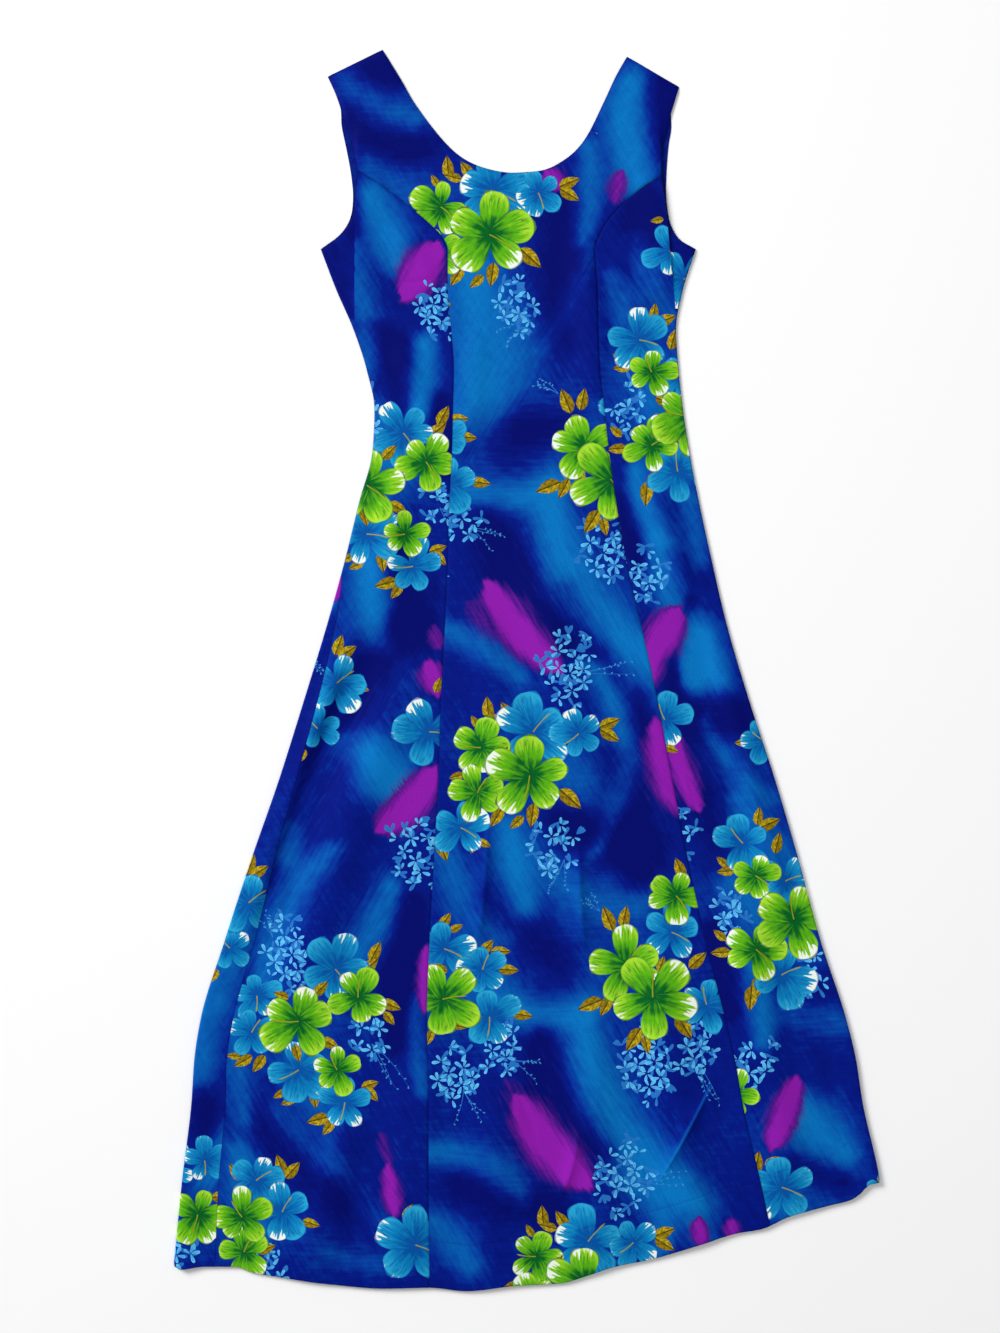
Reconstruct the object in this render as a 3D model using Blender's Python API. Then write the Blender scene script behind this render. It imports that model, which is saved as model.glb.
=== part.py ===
"""A long sleeveless dress, laid flat on its back with its front up.

The cloth is one thin wall. Its front layer lies over its back layer, and the two are joined by soft rolls along
the left and right edges. Five panels make it up: a centre front cut in one with the shoulder straps, two side
fronts set on by curved princess seams, and two backs. Each panel is drawn as an outline on the cloth as it
would lie if it were unrolled from the front, filled with a net of points, and then rolled into its place.

Lengths in the tables are millimetres. x runs to the viewer's right from the middle of the laid dress. Down runs
from the highest point of the shoulders towards the hem. Along is the place across the unrolled cloth: it equals
x on the front, and runs on past both edges round to the back.
"""

import math
from collections import namedtuple

import bmesh
import bpy
import numpy as np
from mathutils import Vector
from mathutils.geometry import delaunay_2d_cdt

MM = 0.001

# The cloth and how it is sewn.
WALL = 1.2
SEAM_GAP = 0.3
BACK_HEM_LIFT = 4.0
BACK_NECK_DROP = 5.0
BACK_NECK_WIDER = 1.035

# How the layers lie. Heights are those of the middle of the wall above the floor.
BACK_HEIGHT = WALL / 2
LOWEST_FRONT = 1.5 * WALL + SEAM_GAP + 0.25
EDGE_ROLL_TOP = 1.7
EDGE_ROLL_HEM = 3.4
EDGE_EASE = 30.0
PLEAT_HALF_WIDTH = 2.2
PLEAT_EASE = 48.0

# The net of points that each panel is made from.
ROW_PITCH = 38.0
OUTLINE_PITCH = 20.0
ROLL_STEPS = 5
TURN_PITCH = 0.5
SQUEEZE = 0.45
CENTRE_COLUMNS = 15
LEFT_COLUMNS = 8
RIGHT_COLUMNS = 6
STRAP_NET_TOP = 20
SIDE_NET_TOP = 150
BACK_COLUMNS = 3
BACK_NET_TOP = 60
BACK_ROW_PITCH = 3 * ROW_PITCH

UNDERARM = 229.0
WAIST_TOP = 343.0
SEAM_TURNED = 705.0

Section = namedtuple("Section", "down left_edge left_seam right_seam right_edge left_wrap right_wrap")
# Across the dress from the underarm to the hem: where each edge and princess seam lies, how far the left side
# seam has turned on to the front, and how far the right one has turned under.
SECTIONS = [
    Section(229, -237, -91, 78, 194, 0, 0),
    Section(276, -219, -91, 81, 179, 0, 0),
    Section(322, -199, -87, 82, 171, 0, 0),
    Section(368, -184, -84, 84, 174, 0, 0),
    Section(414, -175, -85, 89, 179, 0, 0),
    Section(460, -177, -86, 94, 186, 0, 0),
    Section(518, -192, -89, 102, 197, 0, 5),
    Section(587, -209, -91, 114, 212, 1, 12),
    Section(656, -228, -94, 130, 228, 9, 20),
    Section(748, -256, -99, 150, 255, 16, 28),
    Section(840, -285, -102, 167, 285, 20, 32),
    Section(932, -317, -107, 185, 312, 27, 40),
    Section(1024, -347, -112, 205, 337, 34, 50),
    Section(1116, -375, -115, 228, 367, 37, 58),
    Section(1162, -382, -114, 239, 378, 37, 61),
    Section(1208, -385, -113, 247, 385, 39, 64),
    Section(1300, -396, -113, 268, 405, 42, 69),
    Section(1392, -405, -112, 288, 415, 47, 72),
]

SeamTop = namedtuple("SeamTop", "down x")
# The princess seams curve out over the bust and end in the armholes.
LEFT_SEAM_TOP = [
    SeamTop(139, -195), SeamTop(162, -159), SeamTop(183, -132), SeamTop(200, -112), SeamTop(217, -96),
]
RIGHT_SEAM_TOP = [
    SeamTop(146, 154), SeamTop(159, 132), SeamTop(174, 114), SeamTop(195, 94), SeamTop(214, 83),
]

Point = namedtuple("Point", "x down")
# From the left shoulder seam round the scoop to the right one.
NECKLINE = [
    Point(-166, 0), Point(-144, 36), Point(-129, 62), Point(-102, 98), Point(-79, 121), Point(-55, 134),
    Point(-26, 141), Point(-3, 141), Point(21, 138), Point(41, 128), Point(58, 114), Point(72, 94),
    Point(89, 59), Point(102, 31), Point(115, 8),
]
# The strap's side of each front armhole, then the side front's, which runs out to the underarm.
LEFT_STRAP_EDGE = [
    Point(-229, 31), Point(-220, 51), Point(-213, 71), Point(-206, 94), Point(-199, 118), Point(-195, 139),
]
RIGHT_STRAP_EDGE = [Point(175, 43), Point(170, 59), Point(164, 79), Point(156, 113), Point(154, 146)]
LEFT_UNDERARM = [
    Point(-195, 139), Point(-198, 168), Point(-202, 192), Point(-214, 212), Point(-236, 229),
]
RIGHT_UNDERARM = [
    Point(154, 146), Point(159, 160), Point(161, 180), Point(165, 201), Point(175, 218), Point(193, 229),
]
# The back armholes show a few millimetres beyond the straps.
LEFT_BACK_ARMHOLE = [
    Point(-227, 34), Point(-215, 64), Point(-213, 88), Point(-207, 117), Point(-202, 145), Point(-200, 170),
    Point(-203, 193), Point(-214, 213), Point(-236, 230),
]
RIGHT_BACK_ARMHOLE = [
    Point(174, 45), Point(166, 68), Point(166, 90), Point(163, 109), Point(161, 132), Point(160, 158),
    Point(161, 182), Point(165, 202), Point(175, 219), Point(193, 230),
]
CENTRE_BACK = [Point(-22, 146), Point(4, 460), Point(-10, 840), Point(-52, 1424)]

# The hem, from the left edge to the right one, with the waves that its folds give it.
HEM = [
    Point(-405, 1396), Point(-398, 1401), Point(-370, 1398), Point(-334, 1398), Point(-318, 1404),
    Point(-283, 1410), Point(-227, 1418), Point(-166, 1423), Point(-112, 1422), Point(-70, 1426),
    Point(-15, 1420), Point(39, 1417), Point(70, 1408), Point(100, 1398), Point(141, 1390),
    Point(198, 1373), Point(240, 1360), Point(269, 1355), Point(300, 1341), Point(346, 1328),
    Point(373, 1321), Point(384, 1313), Point(392, 1304), Point(405, 1301),
]

Pleat = namedtuple("Pleat", "down left_fold right_fold drop")
# The bust fullness is laid in one soft pleat at each side, from the armhole down to the side.
PLEATS = [
    Pleat(70, -196, 154, 0), Pleat(135, -196, 154, 3.0), Pleat(200, -197, 161, 3.6),
    Pleat(235, -197.5, 164, 3.8), Pleat(280, -197.5, 169, 3.2), Pleat(318, -197.5, 172, 0),
]

Rest = namedtuple("Rest", "down height")
# How high the front layer lies where it has no fold.
REST_HEIGHTS = [
    Rest(0, 2.5), Rest(150, 2.7), Rest(260, 3.6), Rest(460, 4.2), Rest(900, 5.0), Rest(1426, 4.6),
]

Fold = namedtuple("Fold", "x0 down0 x1 down1 bow width0 width1 height")
# Folds of the front layer. Each runs from its first end to its second, bows sideways, and fades at both.
# A height below nought is a trough.
FOLDS = [
    Fold(-154, 650, -322, 1110, -16, 17, 26, -6.5),
    Fold(-192, 640, -356, 1090, -12, 17, 24, 7.0),
    Fold(-118, 690, -280, 1160, -14, 26, 34, 7.5),
    Fold(-46, 880, -60, 1040, 3, 9, 12, 4.0),
    Fold(59, 905, 67, 1050, -3, 9, 12, 4.0),
    Fold(58, 1235, 34, 1325, 6, 8, 8, 3.4),
    Fold(210, 1186, 146, 1318, 8, 8, 8, 4.0),
    Fold(-190, 1180, -262, 1440, 0, 22, 32, 6.5),
    Fold(-128, 1130, -150, 1450, 4, 26, 34, 5.0),
    Fold(-40, 1150, -34, 1450, 0, 26, 36, 6.0),
    Fold(60, 1060, 86, 1440, 4, 26, 30, 6.4),
    Fold(142, 980, 206, 1420, -6, 24, 30, 7.0),
    Fold(236, 930, 322, 1370, -8, 22, 28, 7.6),
    Fold(196, 640, 306, 1060, 8, 20, 26, 6.6),
    Fold(176, 600, 268, 1010, 6, 14, 18, -4.6),
    Fold(0, 560, 98, 900, -10, 30, 36, 6.0),
    Fold(-64, 600, -20, 860, 6, 24, 30, 4.8),
    Fold(130, 480, 190, 660, 6, 16, 18, 5.4),
    Fold(-146, 480, -164, 650, -5, 16, 18, 5.0),
    Fold(52, 190, 76, 420, 8, 15, 18, 4.2),
    Fold(84, 238, 150, 300, -4, 10, 13, 3.6),
    Fold(-168, 205, -98, 280, 6, 11, 13, 3.2),
    Fold(-60, 300, -72, 470, 4, 15, 17, 3.4),
    Fold(-150, 330, -100, 440, -4, 11, 14, 3.2),
    Fold(120, 350, 160, 470, 4, 11, 14, 3.2),
]

Cloth = namedtuple("Cloth", "colour roughness")
PANEL_CLOTH = {
    "front_centre": Cloth((0.010, 0.085, 0.400), 0.62),
    "side_front_left": Cloth((0.012, 0.110, 0.440), 0.62),
    "side_front_right": Cloth((0.012, 0.100, 0.460), 0.62),
    "back_left": Cloth((0.010, 0.070, 0.360), 0.64),
    "back_right": Cloth((0.010, 0.065, 0.350), 0.64),
}


class Curve:
    """A smooth curve through places and values that never swings past them, and is level beyond its ends."""

    def __init__(self, places, values):
        self.places = np.array(places, float)
        self.values = np.array(values, float)
        step = np.diff(self.places)
        rise = np.diff(self.values) / step
        slopes = np.empty(len(self.values))
        slopes[0] = rise[0]
        slopes[-1] = rise[-1]
        for i in range(1, len(step)):
            if rise[i - 1] * rise[i] <= 0:
                slopes[i] = 0.0
                continue
            before = 2 * step[i] + step[i - 1]
            after = step[i] + 2 * step[i - 1]
            slopes[i] = (before + after) / (before / rise[i - 1] + after / rise[i])
        self.slopes = slopes

    def __call__(self, place):
        place = min(max(place, self.places[0]), self.places[-1])
        i = int(np.clip(np.searchsorted(self.places, place) - 1, 0, len(self.places) - 2))
        width = self.places[i + 1] - self.places[i]
        t = (place - self.places[i]) / width
        start, end = self.values[i], self.values[i + 1]
        leave, arrive = self.slopes[i] * width, self.slopes[i + 1] * width
        return (
            start * (1 + 2 * t) * (1 - t) ** 2
            + leave * t * (1 - t) ** 2
            + end * t * t * (3 - 2 * t)
            - arrive * t * t * (1 - t)
        )


def column(rows, name):
    """A curve of one named column of a table against its down column."""
    return Curve([row.down for row in rows], [getattr(row, name) for row in rows])


def seam_curve(top, name):
    """A princess seam from its armhole to the hem: its own rows over the bust, then those of the sections."""
    rows = [(row.down, row.x) for row in top] + [(row.down, getattr(row, name)) for row in SECTIONS]
    return Curve([row[0] for row in rows], [row[1] for row in rows])


left_edge = column(SECTIONS, "left_edge")
right_edge = column(SECTIONS, "right_edge")
left_wrap = column(SECTIONS, "left_wrap")
right_wrap = column(SECTIONS, "right_wrap")
left_seam = seam_curve(LEFT_SEAM_TOP, "left_seam")
right_seam = seam_curve(RIGHT_SEAM_TOP, "right_seam")
left_fold = column(PLEATS, "left_fold")
right_fold = column(PLEATS, "right_fold")
pleat_drop = column(PLEATS, "drop")
rest_height = column(REST_HEIGHTS, "height")
centre_back = column(CENTRE_BACK, "x")
hem_line = Curve([point.x for point in HEM], [point.down for point in HEM])
LONGEST = max(point.down for point in HEM)


def ease(t):
    """Rises smoothly from 0 to 1 as t does."""
    t = min(max(t, 0.0), 1.0)
    return t * t * (3 - 2 * t)


def roll_radius(down):
    """The radius of the roll along each side edge, to the middle of the wall."""
    share = ease((down - UNDERARM) / (LONGEST - UNDERARM))
    return EDGE_ROLL_TOP + (EDGE_ROLL_HEM - EDGE_ROLL_TOP) * share


def pleat_height(x, down):
    """How far the pleat lifts the cloth inside its fold. Outside the fold it drops away at once."""
    drop = pleat_drop(down)
    height = 0.0
    for outward in (left_fold(down) - x, x - right_fold(down)):
        if outward > 0:
            height += drop * (1 - ease(outward / PLEAT_HALF_WIDTH))
        else:
            height += drop * (1 - ease(-outward / PLEAT_EASE))
    return height


def fold_height(x, down):
    """The sum of all folds at a point of the front."""
    total = 0.0
    for fold in FOLDS:
        run = math.hypot(fold.x1 - fold.x0, fold.down1 - fold.down0)
        ahead = ((fold.x1 - fold.x0) / run, (fold.down1 - fold.down0) / run)
        gone = ((x - fold.x0) * ahead[0] + (down - fold.down0) * ahead[1]) / run
        if not 0 < gone < 1:
            continue
        aside = (x - fold.x0) * ahead[1] - (down - fold.down0) * ahead[0]
        aside -= fold.bow * 4 * gone * (1 - gone)
        width = fold.width0 + (fold.width1 - fold.width0) * gone
        total += fold.height * math.exp(-((aside / width) ** 2)) * ease(min(gone, 1 - gone) / 0.3)
    return total


def front_height(x, down):
    """The height of the middle of the front layer."""
    free = rest_height(down) + fold_height(x, down) + pleat_height(x, down)
    softness = 0.5
    free = LOWEST_FRONT + softness * math.log1p(math.exp((free - LOWEST_FRONT) / softness))
    if down < UNDERARM - OUTLINE_PITCH:
        return free
    radius = roll_radius(down)
    inside = min(x - (left_edge(down) + radius), (right_edge(down) - radius) - x)
    edge = BACK_HEIGHT + 2 * radius
    share = ease(inside / EDGE_EASE)
    joined = edge + (free - edge) * share
    return free + (joined - free) * ease((down - UNDERARM + OUTLINE_PITCH) / OUTLINE_PITCH)


def rolled(along, down):
    """Rolls a point of the flat cloth into its place: its x, down and height."""
    radius = roll_radius(down)
    left = left_edge(down) + radius
    right = right_edge(down) - radius
    if left <= along <= right:
        return (along, down, front_height(along, down))
    outside = left - along if along < left else along - right
    centre, outward = (left, -1) if along < left else (right, 1)
    if outside < math.pi * radius:
        turn = outside / radius
        height = BACK_HEIGHT + radius + radius * math.cos(turn)
        return (centre + outward * radius * math.sin(turn), down, height)
    return (centre - outward * (outside - math.pi * radius), down, BACK_HEIGHT)


def under_left(x, down):
    """Where a point of the back lies along the cloth, counted round the left edge."""
    radius = roll_radius(down)
    centre = left_edge(down) + radius
    return centre - math.pi * radius - (x - centre)


def under_right(x, down):
    """Where a point of the back lies along the cloth, counted round the right edge."""
    radius = roll_radius(down)
    centre = right_edge(down) - radius
    return centre + math.pi * radius + (centre - x)


def left_side_seam(down):
    """The left side seam: at the middle of the roll by the underarm, then turned on to the front."""
    radius = roll_radius(down)
    wrap = left_wrap(down)
    middle = left_edge(down) + radius - math.pi * radius / 2
    return middle + (math.pi * radius / 2 + wrap - radius) * ease(wrap / (2 * radius))


def right_side_seam(down):
    """The right side seam: at the middle of the roll by the underarm, then turned under the dress."""
    radius = roll_radius(down)
    wrap = right_wrap(down)
    middle = right_edge(down) - radius + math.pi * radius / 2
    return middle + (math.pi * radius / 2 + wrap - radius) * ease(wrap / (2 * radius))


def hem_down(along):
    """How far down the hem lies at a place along the cloth. The back's hem is a little shorter."""
    down = LONGEST
    for _ in range(4):
        x, _down, height = rolled(along, down)
        down = hem_line(x)
    if height > BACK_HEIGHT:
        return down
    first, last = HEM[0].x, HEM[-1].x
    share = min(max((x - first) / (last - first), 0.0), 1.0)
    return down - BACK_HEM_LIFT * math.sin(math.pi * share)


def flowing(points, pitch):
    """Points about a pitch apart on a smooth curve through the given ones."""
    points = [np.array(point, float) for point in points]
    ends = [2 * points[0] - points[1]] + points + [2 * points[-1] - points[-2]]
    found = [tuple(points[0])]
    for before, start, end, after in zip(ends, ends[1:], ends[2:], ends[3:]):
        steps = max(1, round(float(np.linalg.norm(end - start)) / pitch))
        for i in range(1, steps + 1):
            t = i / steps
            leave = (end - before) / 2
            arrive = (after - start) / 2
            place = (
                start * (1 + 2 * t) * (1 - t) ** 2
                + leave * t * (1 - t) ** 2
                + end * t * t * (3 - 2 * t)
                - arrive * t * t * (1 - t)
            )
            found.append(tuple(place))
    return found


def rows_between(start, end, pitch):
    """Even rows from start to end, with both ends."""
    count = max(1, round(abs(end - start) / pitch))
    return [start + (end - start) * i / count for i in range(count + 1)]


def seam_path(curve, top):
    """A princess seam as points from its top to the hem, closer together where it curves over the bust."""
    bottom = hem_down(curve(LONGEST))
    bend = UNDERARM + 2 * OUTLINE_PITCH
    rows = rows_between(top, bend, OUTLINE_PITCH / 2)[:-1] + rows_between(bend, bottom, ROW_PITCH)
    return [(curve(down), down) for down in rows]


def side_rows():
    """The rows of both side rolls, closer together at the waist and where the side seams turn."""
    rows = rows_between(UNDERARM, WAIST_TOP, ROW_PITCH)[:-1]
    rows += rows_between(WAIST_TOP, SEAM_TURNED, ROW_PITCH / 2)[:-1]
    return rows + rows_between(SEAM_TURNED, LONGEST, ROW_PITCH)


def side_seam_path(curve, edge, wrap):
    """A side seam as points on its roll's rows and at the hem, and more while it turns over the roll."""
    bottom = hem_down(curve(LONGEST))
    rows = [down for down in side_rows() if down < bottom - 2] + [bottom]
    path = []
    for start, end in zip(rows, rows[1:]):
        turned = abs((curve(end) - edge(end)) - (curve(start) - edge(start)))
        on_roll = wrap(start) < math.pi * roll_radius(start)
        steps = math.ceil(turned / TURN_PITCH) if on_roll and turned > TURN_PITCH else 1
        path += [start + (end - start) * i / steps for i in range(steps)]
    return [(curve(down), down) for down in path + [bottom]]


def beside(path, distance):
    """A path moved sideways by a distance, towards greater along if that is above nought."""
    moved = []
    for i, (along, down) in enumerate(path):
        before = path[max(i - 1, 0)]
        after = path[min(i + 1, len(path) - 1)]
        run = math.hypot(after[0] - before[0], after[1] - before[1])
        across = ((after[1] - before[1]) / run, -(after[0] - before[0]) / run)
        moved.append((along + distance * across[0], down + distance * across[1]))
    return moved


def roll_columns():
    """Lines along both rolls, so that each stays round between one row of points and the next."""
    columns = []
    rows = side_rows()
    for side in (-1, 1):
        for step in range(ROLL_STEPS + 1):
            line = []
            for down in rows:
                radius = roll_radius(down)
                turned = math.pi * radius * step / ROLL_STEPS
                start = left_edge(down) + radius if side < 0 else right_edge(down) - radius
                line.append((start + side * turned, down))
            columns.append(line)
    return columns


def pleat_columns():
    """Lines along both sides of each pleat's fold."""
    columns = []
    for fold, top in ((left_fold, 206), (right_fold, 214)):
        for aside in (-PLEAT_HALF_WIDTH, 0.0, PLEAT_HALF_WIDTH):
            rows = rows_between(top, PLEATS[-1].down, ROW_PITCH / 2)
            columns.append([(fold(down) + aside, down) for down in rows])
    return columns


def hem_path(start, end, pitch=OUTLINE_PITCH):
    """The hem between two places along the cloth, with a point wherever a line of a roll meets it."""
    places = rows_between(start, end, pitch)
    low, high = min(start, end), max(start, end)
    for line in roll_columns():
        crossing = Curve([point[1] for point in line], [point[0] for point in line])
        place = crossing(hem_down(line[-1][0]))
        if low + 1 < place < high - 1:
            places = [other for other in places if abs(other - place) > 0.6]
            places.append(place)
    places.sort(reverse=bool(start > end))
    return [(along, hem_down(along)) for along in places]


def closest(point, outline):
    """The distance from a point to an outline."""
    starts = np.array(outline)
    runs = np.roll(starts, -1, axis=0) - starts
    gone = ((np.array(point) - starts) * runs).sum(1) / np.maximum((runs * runs).sum(1), 1e-9)
    feet = starts + runs * np.clip(gone, 0, 1)[:, None]
    return float(np.linalg.norm(feet - np.array(point), axis=1).min())


def within(point, outline):
    """True if a point lies inside an outline."""
    inside = False
    for (x0, y0), (x1, y1) in zip(outline, outline[1:] + outline[:1]):
        if (y0 > point[1]) != (y1 > point[1]):
            if point[0] < x0 + (point[1] - y0) * (x1 - x0) / (y1 - y0):
                inside = not inside
    return inside


def tidy_outline(outline):
    """An outline without points that lie on each other."""
    kept = []
    for point in outline:
        if not kept or math.dist(point, kept[-1]) > 0.05:
            kept.append(point)
    if math.dist(kept[0], kept[-1]) <= 0.05:
        kept.pop()
    return kept


def fill(outline, net, lines):
    """Triangles over an outline, through the net's points and along the lines inside it."""
    outline = tidy_outline(outline)
    squeezed = [(along, down * SQUEEZE) for along, down in outline]
    points = list(squeezed)
    edges = []
    for line in lines:
        last = None
        for along, down in line:
            place = (along, down * SQUEEZE)
            if within(place, squeezed) and closest(place, squeezed) > 0.12:
                points.append(place)
                if last is not None:
                    edges.append((last, len(points) - 1))
                last = len(points) - 1
            else:
                last = None
    drawn = np.array(points)
    for along, down in net:
        place = (along, down * SQUEEZE)
        if not within(place, squeezed) or closest(place, squeezed) < 4.0:
            continue
        if np.abs(drawn - np.array(place)).max(1).min() > 3.0:
            points.append(place)
    filled = delaunay_2d_cdt([Vector(p) for p in points], edges, [list(range(len(outline)))], 1, 1e-5)
    return [(p[0], p[1] / SQUEEZE) for p in filled[0]], [list(face) for face in filled[2]]


def facing(along, down):
    """The direction that the cloth's outer side faces at a place."""
    step_along, step_down = 0.05, 0.5
    across = np.subtract(rolled(along + step_along, down), rolled(along - step_along, down))
    lengthways = np.subtract(rolled(along, down + step_down), rolled(along, down - step_down))
    across[1], lengthways[1] = -across[1], -lengthways[1]
    normal = -np.cross(across, lengthways)
    return normal / np.linalg.norm(normal)


def cloth_wall(name, outline, net, lines):
    """Makes one panel: a wall with its outer and inner sides half a wall either way from the rolled cloth."""
    places, triangles = fill(outline, net, lines)
    mesh = bmesh.new()
    sides = ([], [])
    for along, down in places:
        x, row, height = rolled(along, down)
        middle = np.array([x, -row, height])
        out = facing(along, down)
        if height <= BACK_HEIGHT + 1e-6:
            out = np.array([0.0, 0.0, -1.0])
        for side, way in zip(sides, (0.5, -0.5)):
            side.append(mesh.verts.new(Vector(middle + out * WALL * way) * MM))
    used = {}
    for triangle in triangles:
        for start, end in zip(triangle, triangle[1:] + triangle[:1]):
            used[frozenset((start, end))] = used.get(frozenset((start, end)), 0) + 1
    for triangle in triangles:
        mesh.faces.new([sides[0][i] for i in triangle])
        mesh.faces.new([sides[1][i] for i in reversed(triangle)])
        for start, end in zip(triangle, triangle[1:] + triangle[:1]):
            if used[frozenset((start, end))] == 1:
                mesh.faces.new([sides[0][end], sides[0][start], sides[1][start], sides[1][end]])
    loose = [vertex for vertex in mesh.verts if not vertex.link_faces]
    bmesh.ops.delete(mesh, geom=loose, context="VERTS")
    bmesh.ops.recalc_face_normals(mesh, faces=mesh.faces)
    data = bpy.data.meshes.new(name)
    mesh.to_mesh(data)
    mesh.free()
    panel = bpy.data.objects.new(name, data)
    bpy.context.scene.collection.objects.link(panel)
    data.shade_smooth()
    data.set_sharp_from_angle(angle=math.radians(50))
    data.materials.append(cloth_material(name))
    return panel


def cloth_material(name):
    """Matt printed cotton in the panel's main colour."""
    material = bpy.data.materials.new(name)
    material.use_nodes = True
    shader = material.node_tree.nodes["Principled BSDF"]
    cloth = PANEL_CLOTH[name]
    shader.inputs["Base Color"].default_value = (*cloth.colour, 1.0)
    shader.inputs["Roughness"].default_value = cloth.roughness
    shader.inputs["Metallic"].default_value = 0.0
    return material


def net_between(start, end, count, top, pitch):
    """A net of points on even rows, in columns between two curves."""
    net = []
    for down in rows_between(top, LONGEST, pitch):
        for i in range(1, count):
            net.append((start(down) + (end(down) - start(down)) * i / count, down))
    return net


def front_centre():
    """The centre front with both straps. Its neckline is one deep scoop."""
    left = beside(seam_path(left_seam, LEFT_SEAM_TOP[0].down), SEAM_GAP / 2)
    right = beside(seam_path(right_seam, RIGHT_SEAM_TOP[0].down), -SEAM_GAP / 2)
    outline = left + hem_path(left[-1][0], right[-1][0])[1:-1] + right[::-1]
    outline += flowing(RIGHT_STRAP_EDGE[::-1], OUTLINE_PITCH)[1:]
    outline += flowing(NECKLINE[::-1], OUTLINE_PITCH)
    outline += flowing(LEFT_STRAP_EDGE, OUTLINE_PITCH)[:-1]
    net = net_between(left_seam, right_seam, CENTRE_COLUMNS, STRAP_NET_TOP, ROW_PITCH)
    return cloth_wall("front_centre", outline, net, [])


def side_front_left():
    """The left side front: in to the princess seam, up to the armhole and out to the side seam."""
    inner = beside(seam_path(left_seam, LEFT_SEAM_TOP[0].down), -SEAM_GAP / 2)
    outer = beside(side_seam_path(left_side_seam, left_edge, left_wrap), SEAM_GAP / 2)
    armhole = flowing(LEFT_UNDERARM, OUTLINE_PITCH / 1.5)[1:-1]
    outline = outer + hem_path(outer[-1][0], inner[-1][0])[1:-1] + inner[::-1] + armhole
    net = net_between(
        lambda down: left_edge(down) + roll_radius(down), left_seam, LEFT_COLUMNS, SIDE_NET_TOP, ROW_PITCH
    )
    return cloth_wall("side_front_left", outline, net, roll_columns() + pleat_columns())


def side_front_right():
    """The right side front, which rolls round the right edge and ends under the dress."""
    inner = beside(seam_path(right_seam, RIGHT_SEAM_TOP[0].down), SEAM_GAP / 2)
    outer = beside(side_seam_path(right_side_seam, right_edge, right_wrap), -SEAM_GAP / 2)
    armhole = flowing(RIGHT_UNDERARM, OUTLINE_PITCH / 1.5)[1:-1]
    outline = inner + hem_path(inner[-1][0], outer[-1][0])[1:-1] + outer[::-1] + armhole[::-1]
    net = net_between(
        right_seam, lambda down: right_edge(down) - roll_radius(down), RIGHT_COLUMNS, SIDE_NET_TOP, ROW_PITCH
    )
    return cloth_wall("side_front_right", outline, net, roll_columns() + pleat_columns())


def back_neck():
    """The back neckline: the front's, a little deeper and wider, so that the front hides it."""
    middle = (NECKLINE[0].x + NECKLINE[-1].x) / 2
    return [Point(middle + (p.x - middle) * BACK_NECK_WIDER, p.down + BACK_NECK_DROP) for p in NECKLINE]


def split_neck(side):
    """One half of the back neckline, from the shoulder to the centre back."""
    path = flowing(back_neck(), OUTLINE_PITCH)
    middle = CENTRE_BACK[0].x
    half = [point for point in path if (point[0] - middle) * side > SEAM_GAP]
    return half if side < 0 else half[::-1]


def centre_seam(aside):
    """The centre back seam from the neck to the hem, moved aside."""
    return [(centre_back(down) + aside, down) for down in rows_between(CENTRE_BACK[0].down, LONGEST, ROW_PITCH)]


def back_left():
    """The left back, which rolls round the left edge and shows on the front as far as the side seam."""
    outer = beside(side_seam_path(left_side_seam, left_edge, left_wrap), -SEAM_GAP / 2)
    unrolled = [(under_left(x, down), down) for x, down in centre_seam(-SEAM_GAP / 2)]
    last = unrolled[-1][0]
    unrolled[-1] = (last, hem_down(last))
    neck = [(under_left(x, down), down) for x, down in split_neck(-1)]
    armhole = [(under_left(x, down), down) for x, down in flowing(LEFT_BACK_ARMHOLE, OUTLINE_PITCH)][:-1]
    outline = unrolled + hem_path(last, outer[-1][0])[1:-1] + outer[::-1] + armhole[::-1] + neck
    net = net_between(
        lambda down: under_left(centre_back(down), down),
        lambda down: under_left(left_edge(down), down),
        BACK_COLUMNS, BACK_NET_TOP, BACK_ROW_PITCH,
    )
    return cloth_wall("back_left", outline, net, roll_columns())


def back_right():
    """The right back, from the centre back to the side seam under the dress."""
    outer = beside(side_seam_path(right_side_seam, right_edge, right_wrap), SEAM_GAP / 2)
    unrolled = [(under_right(x, down), down) for x, down in centre_seam(SEAM_GAP / 2)]
    last = unrolled[-1][0]
    unrolled[-1] = (last, hem_down(last))
    neck = [(under_right(x, down), down) for x, down in split_neck(1)]
    armhole = [(under_right(x, down), down) for x, down in flowing(RIGHT_BACK_ARMHOLE, OUTLINE_PITCH)][:-1]
    outline = unrolled + hem_path(last, outer[-1][0])[1:-1] + outer[::-1] + armhole[::-1] + neck
    net = net_between(
        lambda down: under_right(centre_back(down), down),
        lambda down: under_right(right_edge(down), down),
        BACK_COLUMNS, BACK_NET_TOP, BACK_ROW_PITCH,
    )
    return cloth_wall("back_right", outline, net, roll_columns())


def centre_on_floor(panels):
    """Moves the panels' points together, so that the origin is under the middle of the whole dress."""
    corners = np.array([vertex.co for panel in panels for vertex in panel.data.vertices])
    low, high = corners.min(0), corners.max(0)
    shift = Vector((-(low[0] + high[0]) / 2, -(low[1] + high[1]) / 2, -low[2]))
    for panel in panels:
        for vertex in panel.data.vertices:
            vertex.co += shift


def main():
    for thing in list(bpy.data.objects):
        bpy.data.objects.remove(thing)
    panels = [front_centre(), side_front_left(), side_front_right(), back_left(), back_right()]
    centre_on_floor(panels)


main()
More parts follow.
